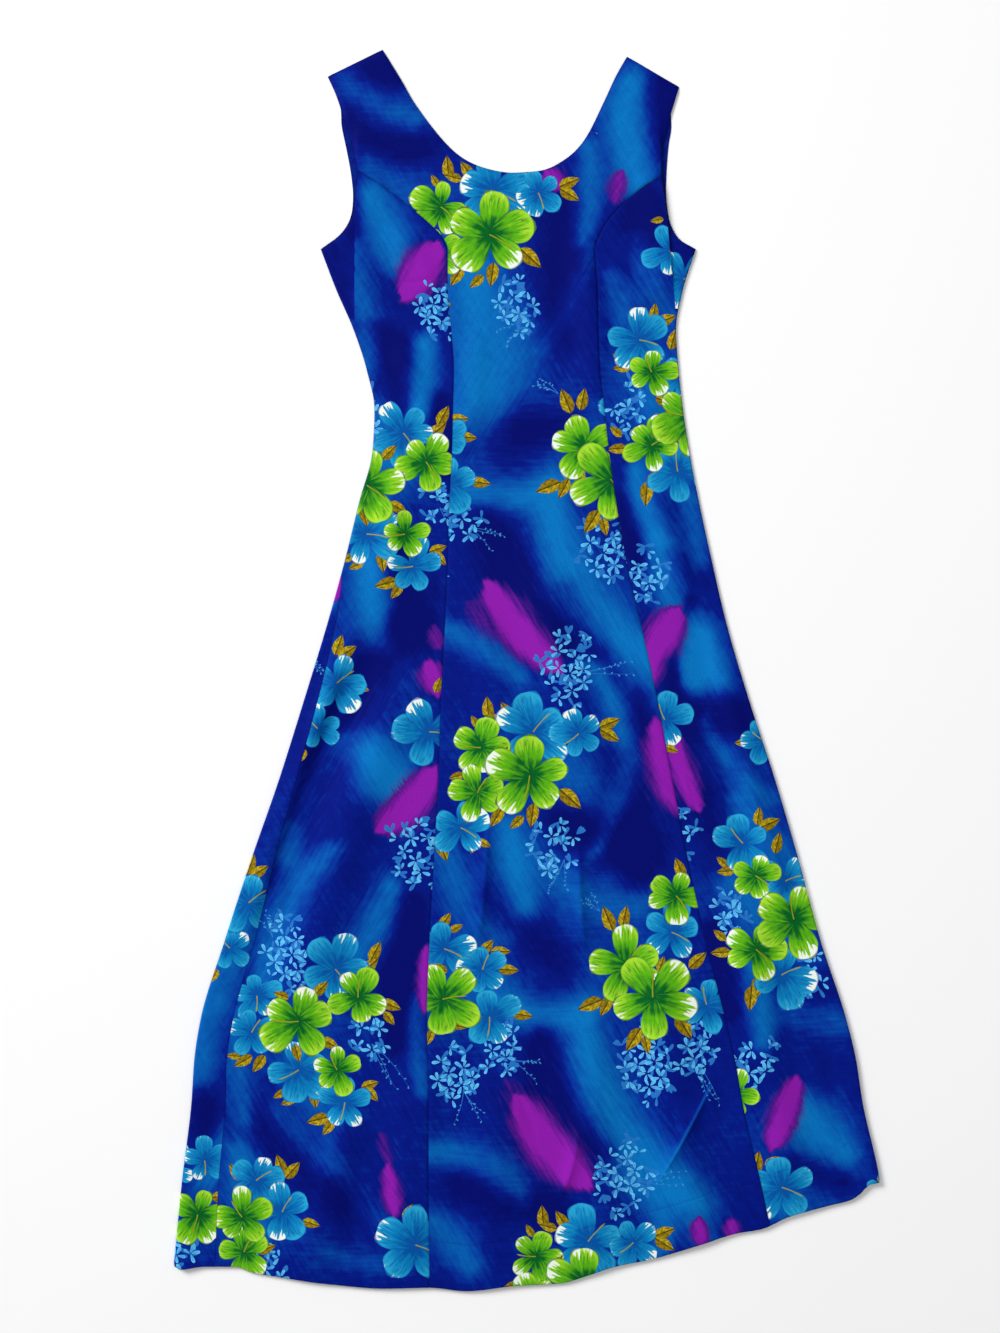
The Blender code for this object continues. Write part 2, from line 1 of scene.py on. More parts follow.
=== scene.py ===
"""The looks of a long sleeveless printed dress, laid flat on its back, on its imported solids.

Each panel is one thin sheet of printed cotton on its solid's form, with finer creases, pressed seams and
turned edges. A panel is drawn on the flat cloth, in millimetres: along runs across the cloth and down runs
from the shoulders to the hem. Along equals x on the laid dress until the cloth rolls round an edge. The
print is drawn on the same flat cloth: outlines of petals and leaves are cut into the sheet's own faces, so
that they stay sharp, and a face in a petal keeps its place in that petal for the shader to paint from.
"""

import math
from collections import namedtuple
from functools import partial

import bpy
import numpy as np
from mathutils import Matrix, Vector
from mathutils.geometry import delaunay_2d_cdt


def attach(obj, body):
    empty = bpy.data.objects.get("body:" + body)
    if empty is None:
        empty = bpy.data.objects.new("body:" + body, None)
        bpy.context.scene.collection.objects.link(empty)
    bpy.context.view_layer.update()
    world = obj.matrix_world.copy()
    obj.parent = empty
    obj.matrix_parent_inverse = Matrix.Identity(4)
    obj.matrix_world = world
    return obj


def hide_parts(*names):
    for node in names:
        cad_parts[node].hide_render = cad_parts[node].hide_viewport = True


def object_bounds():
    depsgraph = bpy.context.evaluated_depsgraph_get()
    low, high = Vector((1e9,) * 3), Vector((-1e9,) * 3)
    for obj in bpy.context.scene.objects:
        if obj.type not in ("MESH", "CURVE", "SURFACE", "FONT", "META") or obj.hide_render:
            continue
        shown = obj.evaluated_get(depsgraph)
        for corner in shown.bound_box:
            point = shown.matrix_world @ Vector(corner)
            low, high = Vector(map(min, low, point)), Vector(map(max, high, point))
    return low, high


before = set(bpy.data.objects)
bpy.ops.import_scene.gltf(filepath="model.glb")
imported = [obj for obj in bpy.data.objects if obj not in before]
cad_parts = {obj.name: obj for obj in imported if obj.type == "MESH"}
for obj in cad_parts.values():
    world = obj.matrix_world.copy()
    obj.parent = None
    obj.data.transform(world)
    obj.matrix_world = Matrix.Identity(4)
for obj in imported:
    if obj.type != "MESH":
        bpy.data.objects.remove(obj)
CAD_BOX = [list(corner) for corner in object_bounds()]
LAID_TOP = CAD_BOX[1][1]
bpy.ops.object.select_all(action="DESELECT")

# Lengths are in millimetres unless a comment says metres.
MM = 0.001

# The cloth: how thick it is, how far apart the points of its front and back sheets and of their outlines
# are, and the gap between neighbouring panels at a seam.
CLOTH = 0.5
FRONT_PITCH = 6.0
BACK_PITCH = 9.0
OUTLINE_PITCH = 5.0
SEAM_GAP = 0.1

# How the layers lie. Heights are those of the middle of the cloth above the floor.
BACK_HEIGHT = CLOTH / 2 + 0.02
LOWEST_FRONT = 2.35
LOWEST_SOFTNESS = 0.5
EDGE_ROLL_TOP = 1.7
EDGE_ROLL_HEM = 3.4
# How many lines of points follow each roll, and how far below the underarm they start.
ROLL_LINES = 9
ROLL_START = 3.0
# Over what distance the front layer rises from a side edge, and where by the underarm that starts.
EDGE_EASE = 30.0
UNDERARM = 229.0
UNDERARM_EASE = 20.0
# The bust pleats: half the width of the fold, and how far in the cloth takes to lie flat again.
PLEAT_HALF_WIDTH = 1.6
PLEAT_EASE = 48.0
# How much shorter the back's hem is, and how much deeper and wider its neckline is than the front's.
BACK_HEM_LIFT = 4.0
BACK_NECK_DROP = 5.0
BACK_NECK_WIDER = 1.035
HEM_DEPTH = 53.0
# How much of a fold's length its height takes to fade at either end.
FOLD_FADE = 0.3

Section = namedtuple("Section", "down left_edge left_seam right_seam right_edge left_wrap right_wrap")
# Across the dress from the underarm to the hem: where each edge and princess seam lies, how far the left
# side seam has turned on to the front, and how far the right one has turned under.
SECTIONS = [
    Section(229, -237, -91, 78, 194, 0, 0),
    Section(276, -219, -91, 81, 179, 0, 0),
    Section(322, -199, -87, 82, 171, 0, 0),
    Section(368, -184, -84, 84, 174, 0, 0),
    Section(414, -175, -85, 89, 179, 0, 0),
    Section(460, -177, -86, 94, 186, 0, 0),
    Section(518, -192, -89, 102, 197, 0, 5),
    Section(587, -209, -91, 114, 212, 1, 12),
    Section(656, -228, -94, 130, 228, 9, 20),
    Section(748, -256, -99, 150, 255, 16, 28),
    Section(840, -285, -102, 167, 285, 20, 32),
    Section(932, -317, -107, 185, 312, 27, 40),
    Section(1024, -347, -112, 205, 337, 34, 50),
    Section(1116, -375, -115, 228, 367, 37, 58),
    Section(1162, -382, -114, 239, 378, 37, 61),
    Section(1208, -385, -113, 247, 385, 39, 64),
    Section(1300, -396, -113, 268, 405, 42, 69),
    Section(1392, -405, -112, 288, 415, 47, 72),
]

SeamTop = namedtuple("SeamTop", "down x")
# The princess seams curve out over the bust and end in the armholes.
LEFT_SEAM_TOP = [
    SeamTop(139, -195), SeamTop(162, -159), SeamTop(183, -132), SeamTop(200, -112), SeamTop(217, -96),
]
RIGHT_SEAM_TOP = [
    SeamTop(146, 154), SeamTop(159, 132), SeamTop(174, 114), SeamTop(195, 94), SeamTop(214, 83),
]

Point = namedtuple("Point", "x down")
# From the left shoulder seam round the scoop to the right one.
NECKLINE = [
    Point(-166, 0), Point(-144, 36), Point(-129, 62), Point(-102, 98), Point(-79, 121), Point(-55, 134),
    Point(-26, 141), Point(-3, 141), Point(21, 138), Point(41, 128), Point(58, 114), Point(72, 94),
    Point(89, 59), Point(102, 31), Point(115, 8),
]
# The strap's side of each front armhole, then the side front's, which runs out to the underarm.
LEFT_STRAP_EDGE = [
    Point(-229, 31), Point(-220, 51), Point(-213, 71), Point(-206, 94), Point(-199, 118), Point(-195, 139),
]
RIGHT_STRAP_EDGE = [Point(175, 43), Point(170, 59), Point(164, 79), Point(156, 113), Point(154, 146)]
LEFT_UNDERARM = [
    Point(-195, 139), Point(-198, 168), Point(-202, 192), Point(-214, 212), Point(-236, 229),
]
RIGHT_UNDERARM = [
    Point(154, 146), Point(159, 160), Point(161, 180), Point(165, 201), Point(175, 218), Point(193, 229),
]
# The back armholes show a few millimetres beyond the straps.
LEFT_BACK_ARMHOLE = [
    Point(-227, 34), Point(-215, 64), Point(-213, 88), Point(-207, 117), Point(-202, 145), Point(-200, 170),
    Point(-203, 193), Point(-214, 213), Point(-236, 230),
]
RIGHT_BACK_ARMHOLE = [
    Point(174, 45), Point(166, 68), Point(166, 90), Point(163, 109), Point(161, 132), Point(160, 158),
    Point(161, 182), Point(165, 202), Point(175, 219), Point(193, 230),
]
CENTRE_BACK = [Point(-22, 146), Point(4, 460), Point(-10, 840), Point(-52, 1424)]

# The hem, from the left edge to the right one, with the waves that its folds give it.
HEM = [
    Point(-405, 1396), Point(-398, 1401), Point(-370, 1398), Point(-334, 1398), Point(-318, 1404),
    Point(-283, 1410), Point(-227, 1418), Point(-166, 1423), Point(-112, 1422), Point(-70, 1426),
    Point(-15, 1420), Point(39, 1417), Point(70, 1408), Point(100, 1398), Point(141, 1390),
    Point(198, 1373), Point(240, 1360), Point(269, 1355), Point(300, 1341), Point(346, 1328),
    Point(373, 1321), Point(384, 1313), Point(392, 1304), Point(405, 1301),
]

Pleat = namedtuple("Pleat", "down left_fold right_fold drop")
# The bust fullness is laid in one soft pleat at each side, from the armhole down to the side.
PLEATS = [
    Pleat(70, -196, 154, 0), Pleat(135, -196, 154, 3.0), Pleat(200, -197, 161, 3.6),
    Pleat(235, -197.5, 164, 3.8), Pleat(280, -197.5, 169, 3.2), Pleat(318, -197.5, 172, 0),
]

Rest = namedtuple("Rest", "down height")
# How high the front layer lies where it has no fold.
REST_HEIGHTS = [
    Rest(0, 2.5), Rest(150, 2.7), Rest(260, 3.6), Rest(460, 4.2), Rest(900, 5.0), Rest(1426, 4.6),
]

Fold = namedtuple("Fold", "x0 down0 x1 down1 bow width0 width1 height")
# Folds of the front layer. Each runs from its first end to its second, bows sideways, and fades at both.
# A height below nought is a trough. A width is how far aside the height falls to about a third.
FOLDS = [
    Fold(-154, 650, -322, 1110, -16, 14, 24, -6.5),
    Fold(-187, 640, -352, 1090, -12, 13, 21, 8.2),
    Fold(-118, 690, -280, 1160, -14, 26, 34, 7.5),
    Fold(-46, 880, -60, 1040, 3, 9, 12, 4.0),
    Fold(59, 905, 67, 1050, -3, 9, 12, 4.0),
    Fold(58, 1235, 34, 1325, 6, 8, 8, 3.4),
    Fold(210, 1186, 146, 1318, 0, 10, 10, 2.6),
    Fold(-190, 1180, -262, 1440, 0, 22, 32, 6.5),
    Fold(-128, 1130, -150, 1450, 4, 26, 34, 5.0),
    Fold(-40, 1150, -34, 1450, 0, 26, 36, 6.0),
    Fold(60, 1060, 86, 1440, 4, 26, 30, 6.4),
    Fold(142, 980, 206, 1420, -6, 24, 30, 7.0),
    Fold(236, 930, 322, 1370, -8, 22, 28, 7.6),
    Fold(196, 640, 306, 1060, 8, 20, 26, 6.6),
    Fold(176, 600, 268, 1010, 6, 14, 18, -4.6),
    Fold(0, 560, 98, 900, -10, 30, 36, 6.0),
    Fold(-64, 600, -20, 860, 6, 24, 30, 4.8),
    Fold(130, 480, 190, 660, 6, 16, 18, 5.4),
    Fold(-146, 480, -164, 650, -5, 16, 18, 5.0),
    Fold(52, 190, 76, 420, 8, 15, 18, 4.2),
    Fold(84, 238, 150, 300, -4, 10, 13, 3.6),
    Fold(-168, 205, -98, 280, 6, 11, 13, 3.2),
    Fold(-60, 300, -72, 470, 4, 15, 17, 3.4),
    Fold(-150, 330, -100, 440, -4, 11, 14, 3.2),
    Fold(120, 350, 160, 470, 4, 11, 14, 3.2),
]
# Narrow creases, pressed in by packing, that are too fine for the solids.
CREASES = [
    Fold(58, 1232, 36, 1322, 5, 2.6, 3.4, 1.5),
    Fold(211, 1190, 147, 1308, 0, 1.7, 1.9, 1.9),
    Fold(60, 262, 122, 250, 2, 2.6, 3.0, -0.7),
    Fold(-150, 268, -96, 262, -2, 2.6, 3.0, -0.6),
    Fold(-46, 876, -58, 1036, 3, 2.6, 3.4, 1.4),
    Fold(60, 900, 68, 1046, -3, 2.6, 3.4, 1.5),
    Fold(96, 470, 152, 500, 3, 3.0, 4.0, 0.7),
    Fold(-140, 498, -94, 520, 2, 3.0, 4.0, 0.7),
    Fold(-20, 1180, 12, 1262, 3, 3.0, 4.0, -0.8),
    Fold(300, 1130, 352, 1188, -4, 3.0, 4.0, 0.9),
    Fold(-330, 1150, -276, 1206, 4, 3.0, 4.0, 0.8),
    Fold(-126, 560, -104, 640, 3, 3.0, 3.6, 0.8),
    Fold(176, 820, 196, 930, 3, 3.0, 3.6, 0.8),
]
# Creases of the hidden back, which lifts a little from the floor along them.
BACK_CREASES = [
    Fold(-130, 320, -60, 470, 8, 12, 16, 0.7),
    Fold(60, 340, 110, 520, -6, 12, 16, 0.7),
    Fold(-60, 700, -150, 980, 10, 16, 22, 0.9),
    Fold(70, 760, 170, 1060, -8, 16, 22, 0.8),
    Fold(-220, 1020, -190, 1290, 8, 14, 20, 0.8),
    Fold(20, 1080, 60, 1330, 6, 14, 20, 0.7),
    Fold(200, 1040, 260, 1270, -6, 14, 20, 0.7),
]

Motif = namedtuple("Motif", "kind x down size turn")
# The motifs of the print. Size is a flower's or spray's radius, or a leaf's or twig's length. Turn is the
# way that the first petal or the tip points: 0 to the right, 90 towards the hem.
Green, Blue = partial(Motif, "green"), partial(Motif, "blue")
Leaf, Spray, Twig = partial(Motif, "leaf"), partial(Motif, "spray"), partial(Motif, "twig")
# Bouquets, each on its own middle, from the lowest motif to the uppermost.
CROWN = [
    Twig(60, -118, 62, -8), Twig(40, 96, 44, 118),
    Spray(45, -122, 42, 0), Spray(28, 80, 34, 0),
    Leaf(-48, -78, 27, -95), Leaf(-26, -74, 26, -125), Leaf(-42, -66, 22, -165),
    Leaf(-63, -62, 17, -120), Leaf(92, -60, 27, -22), Leaf(92, -46, 27, 32),
    Leaf(-84, 1, 19, 165), Leaf(3, 46, 29, 98), Leaf(-15, 54, 22, 138),
    Leaf(-38, 48, 27, 122), Leaf(47, 27, 34, 42), Leaf(-100, 84, 32, 72),
    Leaf(-64, 82, 18, 115), Leaf(-52, 78, 18, 25),
    Blue(-79, 60, 33, 205), Blue(4, -50, 43, -92), Blue(56, -48, 30, -116),
    Green(-56, -32, 33, -72), Green(-60, 20, 31, 186), Leaf(-31, -26, 20, -50),
    Green(0, 0, 46, -84),
]
PAIR = [
    Twig(-30, -62, 30, -140), Twig(84, 116, 52, 60),
    Spray(24, 116, 40, 0), Spray(78, 98, 30, 0),
    Leaf(-21, -54, 31, -112), Leaf(-2, -56, 27, -78), Leaf(-42, 45, 31, 158),
    Leaf(-24, 47, 26, 118), Leaf(-6, 36, 22, 118), Leaf(8, 85, 32, 122),
    Leaf(23, 91, 22, 78), Leaf(66, 70, 34, 58), Leaf(82, -6, 28, -42),
    Leaf(61, -112, 26, -112),
    Blue(92, 45, 32, 72), Blue(52, -38, 35, -15), Leaf(40, -2, 20, -70),
    Green(57, -80, 31, -62), Green(0, 0, 45, -98), Green(30, 36, 47, -58),
]
TRIO = [
    Twig(84, 26, 64, 48), Twig(-30, -96, 34, -130),
    Spray(-15, -76, 40, 0), Spray(82, 18, 25, 0),
    Leaf(88, -80, 27, -62), Leaf(80, -62, 31, -40), Leaf(106, -18, 26, 22),
    Leaf(104, -3, 20, 52), Leaf(-64, 46, 25, 150), Leaf(-46, 49, 25, 125),
    Leaf(-75, 40, 17, 185), Leaf(-22, 84, 18, 150), Leaf(-12, 92, 20, 155),
    Leaf(18, 88, 26, 82), Leaf(82, 73, 22, -18), Leaf(84, 84, 22, 48),
    Leaf(22, 113, 28, 165), Leaf(34, 122, 22, 128),
    Blue(42, -60, 38, -60), Blue(-48, -29, 28, -95), Blue(-54, 13, 28, -100),
    Blue(0, 56, 38, 110), Blue(53, 93, 32, 60),
    Leaf(-20, -30, 20, -160), Leaf(26, -38, 24, -45), Leaf(36, 26, 25, 28),
    Leaf(-2, 37, 22, 75), Green(68, -27, 33, -55), Green(44, 56, 28, -85),
    Green(0, 0, 44, -78),
]
STAIR = [
    Spray(-28, 42, 24, 0), Spray(62, 112, 24, 0),
    Leaf(3, -69, 22, -82), Leaf(16, -60, 28, -22), Leaf(25, -38, 26, -75),
    Leaf(-38, -16, 18, -140), Leaf(-34, -5, 22, 176), Leaf(-41, 68, 19, -140),
    Leaf(-40, 88, 24, 176), Leaf(1, 128, 30, 105), Leaf(-6, 140, 30, 95),
    Leaf(16, 34, 26, 22), Leaf(34, 86, 20, 58),
    Blue(-14, -37, 34, -100), Blue(34, 6, 30, 10), Blue(30, 114, 37, 150),
    Green(0, 0, 29, -80), Green(0, 84, 33, -70), Green(44, 50, 43, -70),
]
FAN = [
    Twig(24, 104, 46, 70), Twig(80, 70, 40, 20),
    Spray(14, 88, 36, 0), Spray(66, 56, 30, 0),
    Leaf(3, -90, 24, -55), Leaf(16, -82, 18, -25), Leaf(34, -56, 24, -62),
    Leaf(51, -60, 24, -48), Leaf(67, -55, 24, 0), Leaf(76, -34, 25, 4),
    Leaf(92, 18, 25, 8), Leaf(18, 30, 22, 15), Leaf(-15, 44, 20, 110),
    Blue(2, -58, 36, -90), Blue(46, -34, 29, -40), Blue(54, 20, 35, -20),
    Leaf(-3, -36, 20, -150), Green(0, 0, 42, -52),
]
POSY = [
    Spray(30, 62, 26, 0),
    Leaf(44, -60, 26, -110), Leaf(58, -54, 26, -48), Leaf(-8, -52, 24, -125),
    Leaf(6, -54, 20, -80), Leaf(80, 6, 22, 15), Leaf(28, 36, 24, -20),
    Blue(16, -42, 32, -75), Blue(46, -6, 31, -30), Green(2, 40, 33, 40),
    Green(0, 0, 33, -95),
]
BUD = [
    Leaf(2, -44, 26, -70), Leaf(12, -36, 26, -32), Leaf(29, 6, 18, 20),
    Blue(-22, 52, 26, -30), Leaf(-48, 72, 20, 175), Leaf(-40, 84, 18, 120),
    Blue(0, 0, 36, -80),
]

Placed = namedtuple("Placed", "bouquet x down turn")
# Where the bouquets lie on each panel's flat cloth.
BOUQUETS = {
    "front_centre": [
        Placed(CROWN, -43, 213, 0), Placed(CROWN, 3, 834, 0), Placed(CROWN, 66, 1418, 0),
        Placed(PAIR, 66, 458, 0), Placed(PAIR, 114, 1052, 0), Placed(FAN, -97, 1091, 0),
        Placed(FAN, -145, 480, 0),
    ],
    "side_front_left": [
        Placed(TRIO, -184, 501, 0), Placed(TRIO, -262, 1116, 0), Placed(POSY, -327, 1341, 0),
        Placed(BUD, -218, 728, 0), Placed([Spray(0, 0, 34, 0)], -104, 300, 0),
        Placed([Spray(0, 0, 42, 0)], -124, 926, 0),
        Placed([Leaf(0, 0, 20, -70), Blue(-10, 54, 40, 180)], -102, 730, 0),
        Placed([Leaf(-8, -38, 22, -60), Blue(0, 0, 44, -90)], -128, 1372, 0),
        Placed([Spray(0, 0, 24, 0)], -190, 424, 0),
    ],
    "side_front_right": [
        Placed(STAIR, 143, 371, 0), Placed(STAIR, 262, 949, 0),
        Placed([Blue(15, 36, 30, -118), Leaf(0, 0, 16, 172)], 149, 197, 0),
        Placed([Spray(0, 0, 30, 0)], 136, 604, 0),
        Placed([Blue(0, 0, 30, -10), Leaf(8, 34, 18, 20)], 158, 770, 0),
        Placed([Leaf(-18, 2, 22, 176), Blue(6, 0, 26, 100)], 266, 794, 0),
        Placed([Spray(0, 0, 32, 0)], 263, 1166, 0),
        Placed([Green(0, 0, 30, 10)], 238, 1200, 0),
        Placed([Leaf(-28, -28, 28, -80), Leaf(-10, -30, 22, -30),
                Blue(0, 0, 40, -20), Leaf(-26, 30, 22, 30)], 292, 1306, 0),
        Placed([Blue(0, 0, 22, 200)], 408, 1308, 0),
        Placed([Spray(0, 0, 22, 0)], 178, 898, 0),
        Placed(TRIO, 480, 640, 8), Placed([Blue(0, 0, 34, 40)], 428, 1010, 0),
    ],
    "back_left": [
        Placed([Spray(-18, 46, 26, 0), Leaf(40, -34, 24, -40), Blue(-30, -50, 30, -60),
                Blue(8, -62, 26, -100), Leaf(28, -20, 26, 0), Green(0, 0, 33, -80)],
               -378, 1338, 0),
        Placed(BUD, -319, 980, 0), Placed(CROWN, -540, 1010, 4),
        Placed(PAIR, -640, 1260, -6), Placed(STAIR, -450, 800, 0), Placed(FAN, -330, 620, 5),
        Placed(CROWN, -310, 400, -5), Placed(TRIO, -340, 190, 0), Placed(POSY, -600, 1130, 0),
        Placed(POSY, -420, 530, 0),
    ],
    "back_right": [
        Placed(CROWN, 530, 1180, 5), Placed(PAIR, 500, 930, 0), Placed(TRIO, 400, 740, -5),
        Placed(STAIR, 700, 1320, 0), Placed(FAN, 300, 560, 0), Placed(CROWN, 290, 330, 0),
        Placed(POSY, 300, 120, 0), Placed(POSY, 370, 460, 0), Placed(POSY, 380, 1060, 0),
    ],
}
# What shows on the lower layer of the right bust pleat, where the print is displaced by the fold.
BEYOND_FOLD = [Placed([Twig(2, 34, 34, 95), Blue(0, 0, 40, -112)], 180, 264, 0)]

Wash = namedtuple("Wash", "tone x0 down0 x1 down1 bow width strength")
Azure, Navy, Magenta = (partial(Wash, tone) for tone in ("azure", "navy", "magenta"))
# Brushed colour of the ground on the flat cloth, one over the other. Navy takes azure away.
# Two strokes also hold painted shade and a painted highlight along folds, as their comments say.
WASHES = {
    "front_centre": [
        Azure(-201, 48, -132, 80, -7, 23, 0.45), Navy(-198, 78, -123, 115, -9, 21, 0.7),
        Navy(-178, 14, -155, 32, 0, 21, 0.7), Azure(-178, 136, -109, 168, -5, 23, 0.4),
        Azure(118, 39, 130, 161, -9, 25, 0.95), Navy(162, 34, 158, 115, 0, 21, 0.7),
        Azure(70, 115, 63, 218, 7, 14, 0.6), Magenta(100, 178, 109, 138, 0, 8, 0.55),
        Azure(-66, 244, -56, 437, 12, 39, 0.85), Azure(-8, 322, -66, 425, 0, 30, 0.35),
        Azure(72, 230, 15, 345, 7, 12, 0.35), Navy(38, 184, 33, 322, 0, 30, 0.7),
        Navy(-66, 448, 38, 431, 0, 25, 0.9), Magenta(21, 140, 38, 161, 0, 10, 0.8),
        Azure(-75, 504, 38, 501, -12, 18, 0.8), Azure(24, 515, 144, 702, -25, 28, 0.95),
        Azure(141, 690, 162, 770, 0, 21, 0.6), Navy(-43, 540, 38, 678, -12, 25, 0.8),
        Magenta(-47, 612, 38, 715, -7, 14, 1.0), Magenta(-66, 632, -31, 678, 0, 14, 0.35),
        Azure(-100, 665, -8, 720, 7, 16, 0.6), Navy(49, 621, 84, 690, 0, 18, 0.7),
        Azure(75, 711, 82, 918, 34, 14, 0.65), Navy(38, 885, 130, 920, 0, 23, 0.8),
        Azure(-22, 895, -3, 983, 0, 23, 0.85), Azure(-93, 920, -31, 1018, -9, 21, 0.6),
        Azure(24, 816, 84, 862, 0, 23, 0.3), Magenta(147, 770, 187, 885, -7, 14, 0.85),
        Navy(107, 816, 130, 954, 0, 23, 0.7), Azure(38, 954, 130, 983, -12, 25, 0.45),
        Navy(-54, 983, 38, 1046, 0, 25, 0.5), Azure(-31, 1097, 72, 1104, -9, 16, 0.75),
        Azure(63, 1113, 185, 1322, -25, 28, 0.95), Azure(176, 1300, 206, 1368, 0, 21, 0.5),
        Navy(15, 1138, 84, 1265, -12, 23, 0.8), Magenta(-13, 1203, 72, 1306, -7, 17, 1.0),
        Magenta(-25, 1184, 3, 1230, 0, 14, 0.3), Azure(-105, 1265, -8, 1311, 9, 21, 0.6),
        Azure(-105, 1346, -66, 1394, 0, 21, 0.6), Navy(-77, 1300, 38, 1340, 0, 21, 0.7),
        Azure(121, 1300, 153, 1380, 16, 16, 0.6), Magenta(195, 1340, 201, 1374, 0, 7, 0.8),
        Magenta(233, 1343, 238, 1368, 0, 7, 0.7), Azure(-66, 1035, -31, 1092, 0, 30, 0.5),
        # The narrow azure stroke from (211, 1190) to (147, 1308) is a light line on a crease's ridge: worn
        # dye and painted highlight.
        Navy(130, 747, 141, 793, 0, 16, 0.6), Azure(211, 1190, 147, 1308, 0, 1.5, 0.55),
    ],
    "side_front_left": [
        Azure(-178, 168, -151, 244, 0, 23, 0.8), Azure(-201, 230, -185, 370, 5, 16, 0.5),
        Navy(-209, 126, -201, 207, 0, 12, 0.6), Magenta(-141, 288, -102, 223, 0, 15, 1.0),
        Azure(-117, 339, -125, 412, 0, 17, 0.9), Navy(-169, 322, -146, 414, 12, 18, 0.8),
        Azure(-178, 425, -155, 483, 0, 28, 0.6), Navy(-100, 402, -93, 483, 0, 12, 0.9),
        Azure(-183, 586, -171, 678, 0, 23, 0.9), Navy(-146, 586, -123, 678, 0, 23, 0.7),
        # The navy stroke from (-146, 660) to (-261, 880) lies in the trough of the left hip fold: navy
        # print and painted shade of the fold.
        Navy(-146, 660, -261, 880, -12, 24, 1.0), Azure(-217, 793, -273, 931, -7, 16, 0.45),
        Magenta(-107, 662, -102, 690, 0, 7, 0.5), Magenta(-114, 702, -102, 742, 0, 10, 0.9),
        Azure(-178, 807, -148, 851, 0, 30, 0.9), Magenta(-171, 899, -105, 826, -6, 14, 1.0),
        Azure(-227, 920, -305, 1081, -16, 18, 0.55), Azure(-155, 966, -201, 1046, 7, 21, 0.7),
        Navy(-135, 983, -148, 1138, 0, 21, 0.9), Magenta(-115, 1029, -117, 1106, 0, 7, 0.9),
        Azure(-129, 1092, -118, 1196, -5, 12, 0.5), Azure(-261, 1162, -227, 1219, 0, 30, 0.5),
        Azure(-339, 1104, -325, 1230, 0, 16, 0.5), Navy(-296, 1230, -204, 1322, 0, 34, 0.5),
        Azure(-289, 1219, -227, 1282, 0, 16, 0.4), Azure(-227, 1254, -146, 1368, -7, 14, 0.25),
        Magenta(-160, 1282, -151, 1340, 0, 8, 0.8), Magenta(-169, 1242, -155, 1282, 0, 6, 0.4),
        Azure(-227, 1380, -135, 1394, -7, 12, 0.3), Azure(-330, 1265, -305, 1357, 0, 18, 0.6),
    ],
    "side_front_right": [
        Azure(130, 218, 162, 310, -5, 16, 0.4), Azure(98, 264, 116, 322, 0, 14, 0.35),
        Navy(130, 172, 141, 218, 0, 21, 0.8), Azure(153, 379, 176, 483, 0, 30, 0.6),
        Azure(125, 483, 153, 564, -7, 16, 0.8), Navy(107, 518, 130, 586, 0, 14, 0.8),
        Azure(187, 518, 199, 586, 0, 16, 0.5), Azure(147, 564, 222, 724, -12, 18, 0.7),
        Magenta(141, 702, 174, 642, 0, 14, 1.0), Magenta(137, 736, 151, 678, 0, 9, 0.8),
        Azure(199, 678, 192, 724, 0, 25, 0.95), Navy(187, 632, 167, 736, -5, 7, 0.9),
        Navy(176, 747, 245, 770, -14, 23, 0.9), Azure(204, 773, 279, 862, -9, 14, 0.5),
        Magenta(167, 782, 199, 876, -5, 9, 0.9), Navy(187, 839, 222, 931, 0, 23, 0.6),
        Azure(245, 862, 302, 954, 0, 21, 0.6), Azure(245, 954, 314, 1046, 0, 30, 0.55),
        Navy(213, 1012, 233, 1104, 0, 14, 0.9), Azure(259, 1046, 270, 1138, 5, 14, 0.7),
        Navy(279, 1046, 337, 1092, 0, 21, 0.6), Azure(302, 1104, 371, 1116, 0, 21, 0.4),
        Magenta(280, 1262, 310, 1180, 0, 11, 0.95), Azure(314, 1219, 360, 1265, 0, 28, 0.9),
        Navy(302, 1276, 360, 1300, 0, 16, 0.8), Azure(279, 1311, 314, 1340, 0, 18, 0.5),
        Azure(440, 700, 470, 900, 20, 26, 0.7), Magenta(440, 960, 480, 1020, 0, 12, 0.9),
    ],
    "back_left": [
        Azure(-213, 586, -227, 632, 0, 14, 0.7), Magenta(-210, 607, -220, 632, 0, 8, 0.9),
        Azure(-335, 977, -351, 1092, 0, 21, 0.6), Azure(-370, 1070, -376, 1184, 0, 21, 0.6),
        Navy(-370, 1196, -367, 1265, 0, 18, 0.6), Azure(-339, 1242, -370, 1300, 0, 16, 0.6),
        Azure(-340, 260, -420, 520, 20, 30, 0.8), Azure(-520, 620, -560, 880, -26, 28, 0.8),
        Azure(-460, 1080, -560, 1290, 24, 28, 0.8), Azure(-640, 1060, -760, 1200, 0, 26, 0.7),
        Magenta(-440, 450, -480, 540, 8, 15, 1.0), Magenta(-600, 900, -640, 990, -8, 16, 1.0),
        Magenta(-560, 1300, -600, 1380, 6, 14, 1.0), Navy(-420, 700, -470, 900, 0, 30, 0.8),
        Navy(-640, 1300, -740, 1400, 0, 30, 0.8), Azure(-700, 800, -720, 950, 10, 22, 0.7),
    ],
    "back_right": [
        Azure(280, 240, 360, 420, -20, 28, 0.8), Azure(420, 560, 480, 820, 26, 28, 0.8),
        Azure(540, 960, 620, 1180, -24, 28, 0.8), Azure(640, 1160, 700, 1300, 0, 26, 0.7),
        Magenta(400, 400, 430, 480, 8, 15, 1.0), Magenta(560, 840, 600, 930, -8, 16, 1.0),
        Magenta(480, 1240, 520, 1320, 6, 14, 1.0), Navy(480, 620, 540, 760, 0, 30, 0.8),
        Navy(600, 1040, 700, 1100, 0, 30, 0.8),
    ],
}
# How azure the bare ground is, and how much more so it is round a bouquet.
GROUND_AZURE = 0.24
HALO = 0.24
HALO_REACH = 78.0

# The flat size of each panel as sewn, in metres, and its area in square metres.
Cut = namedtuple("Cut", "width length area")


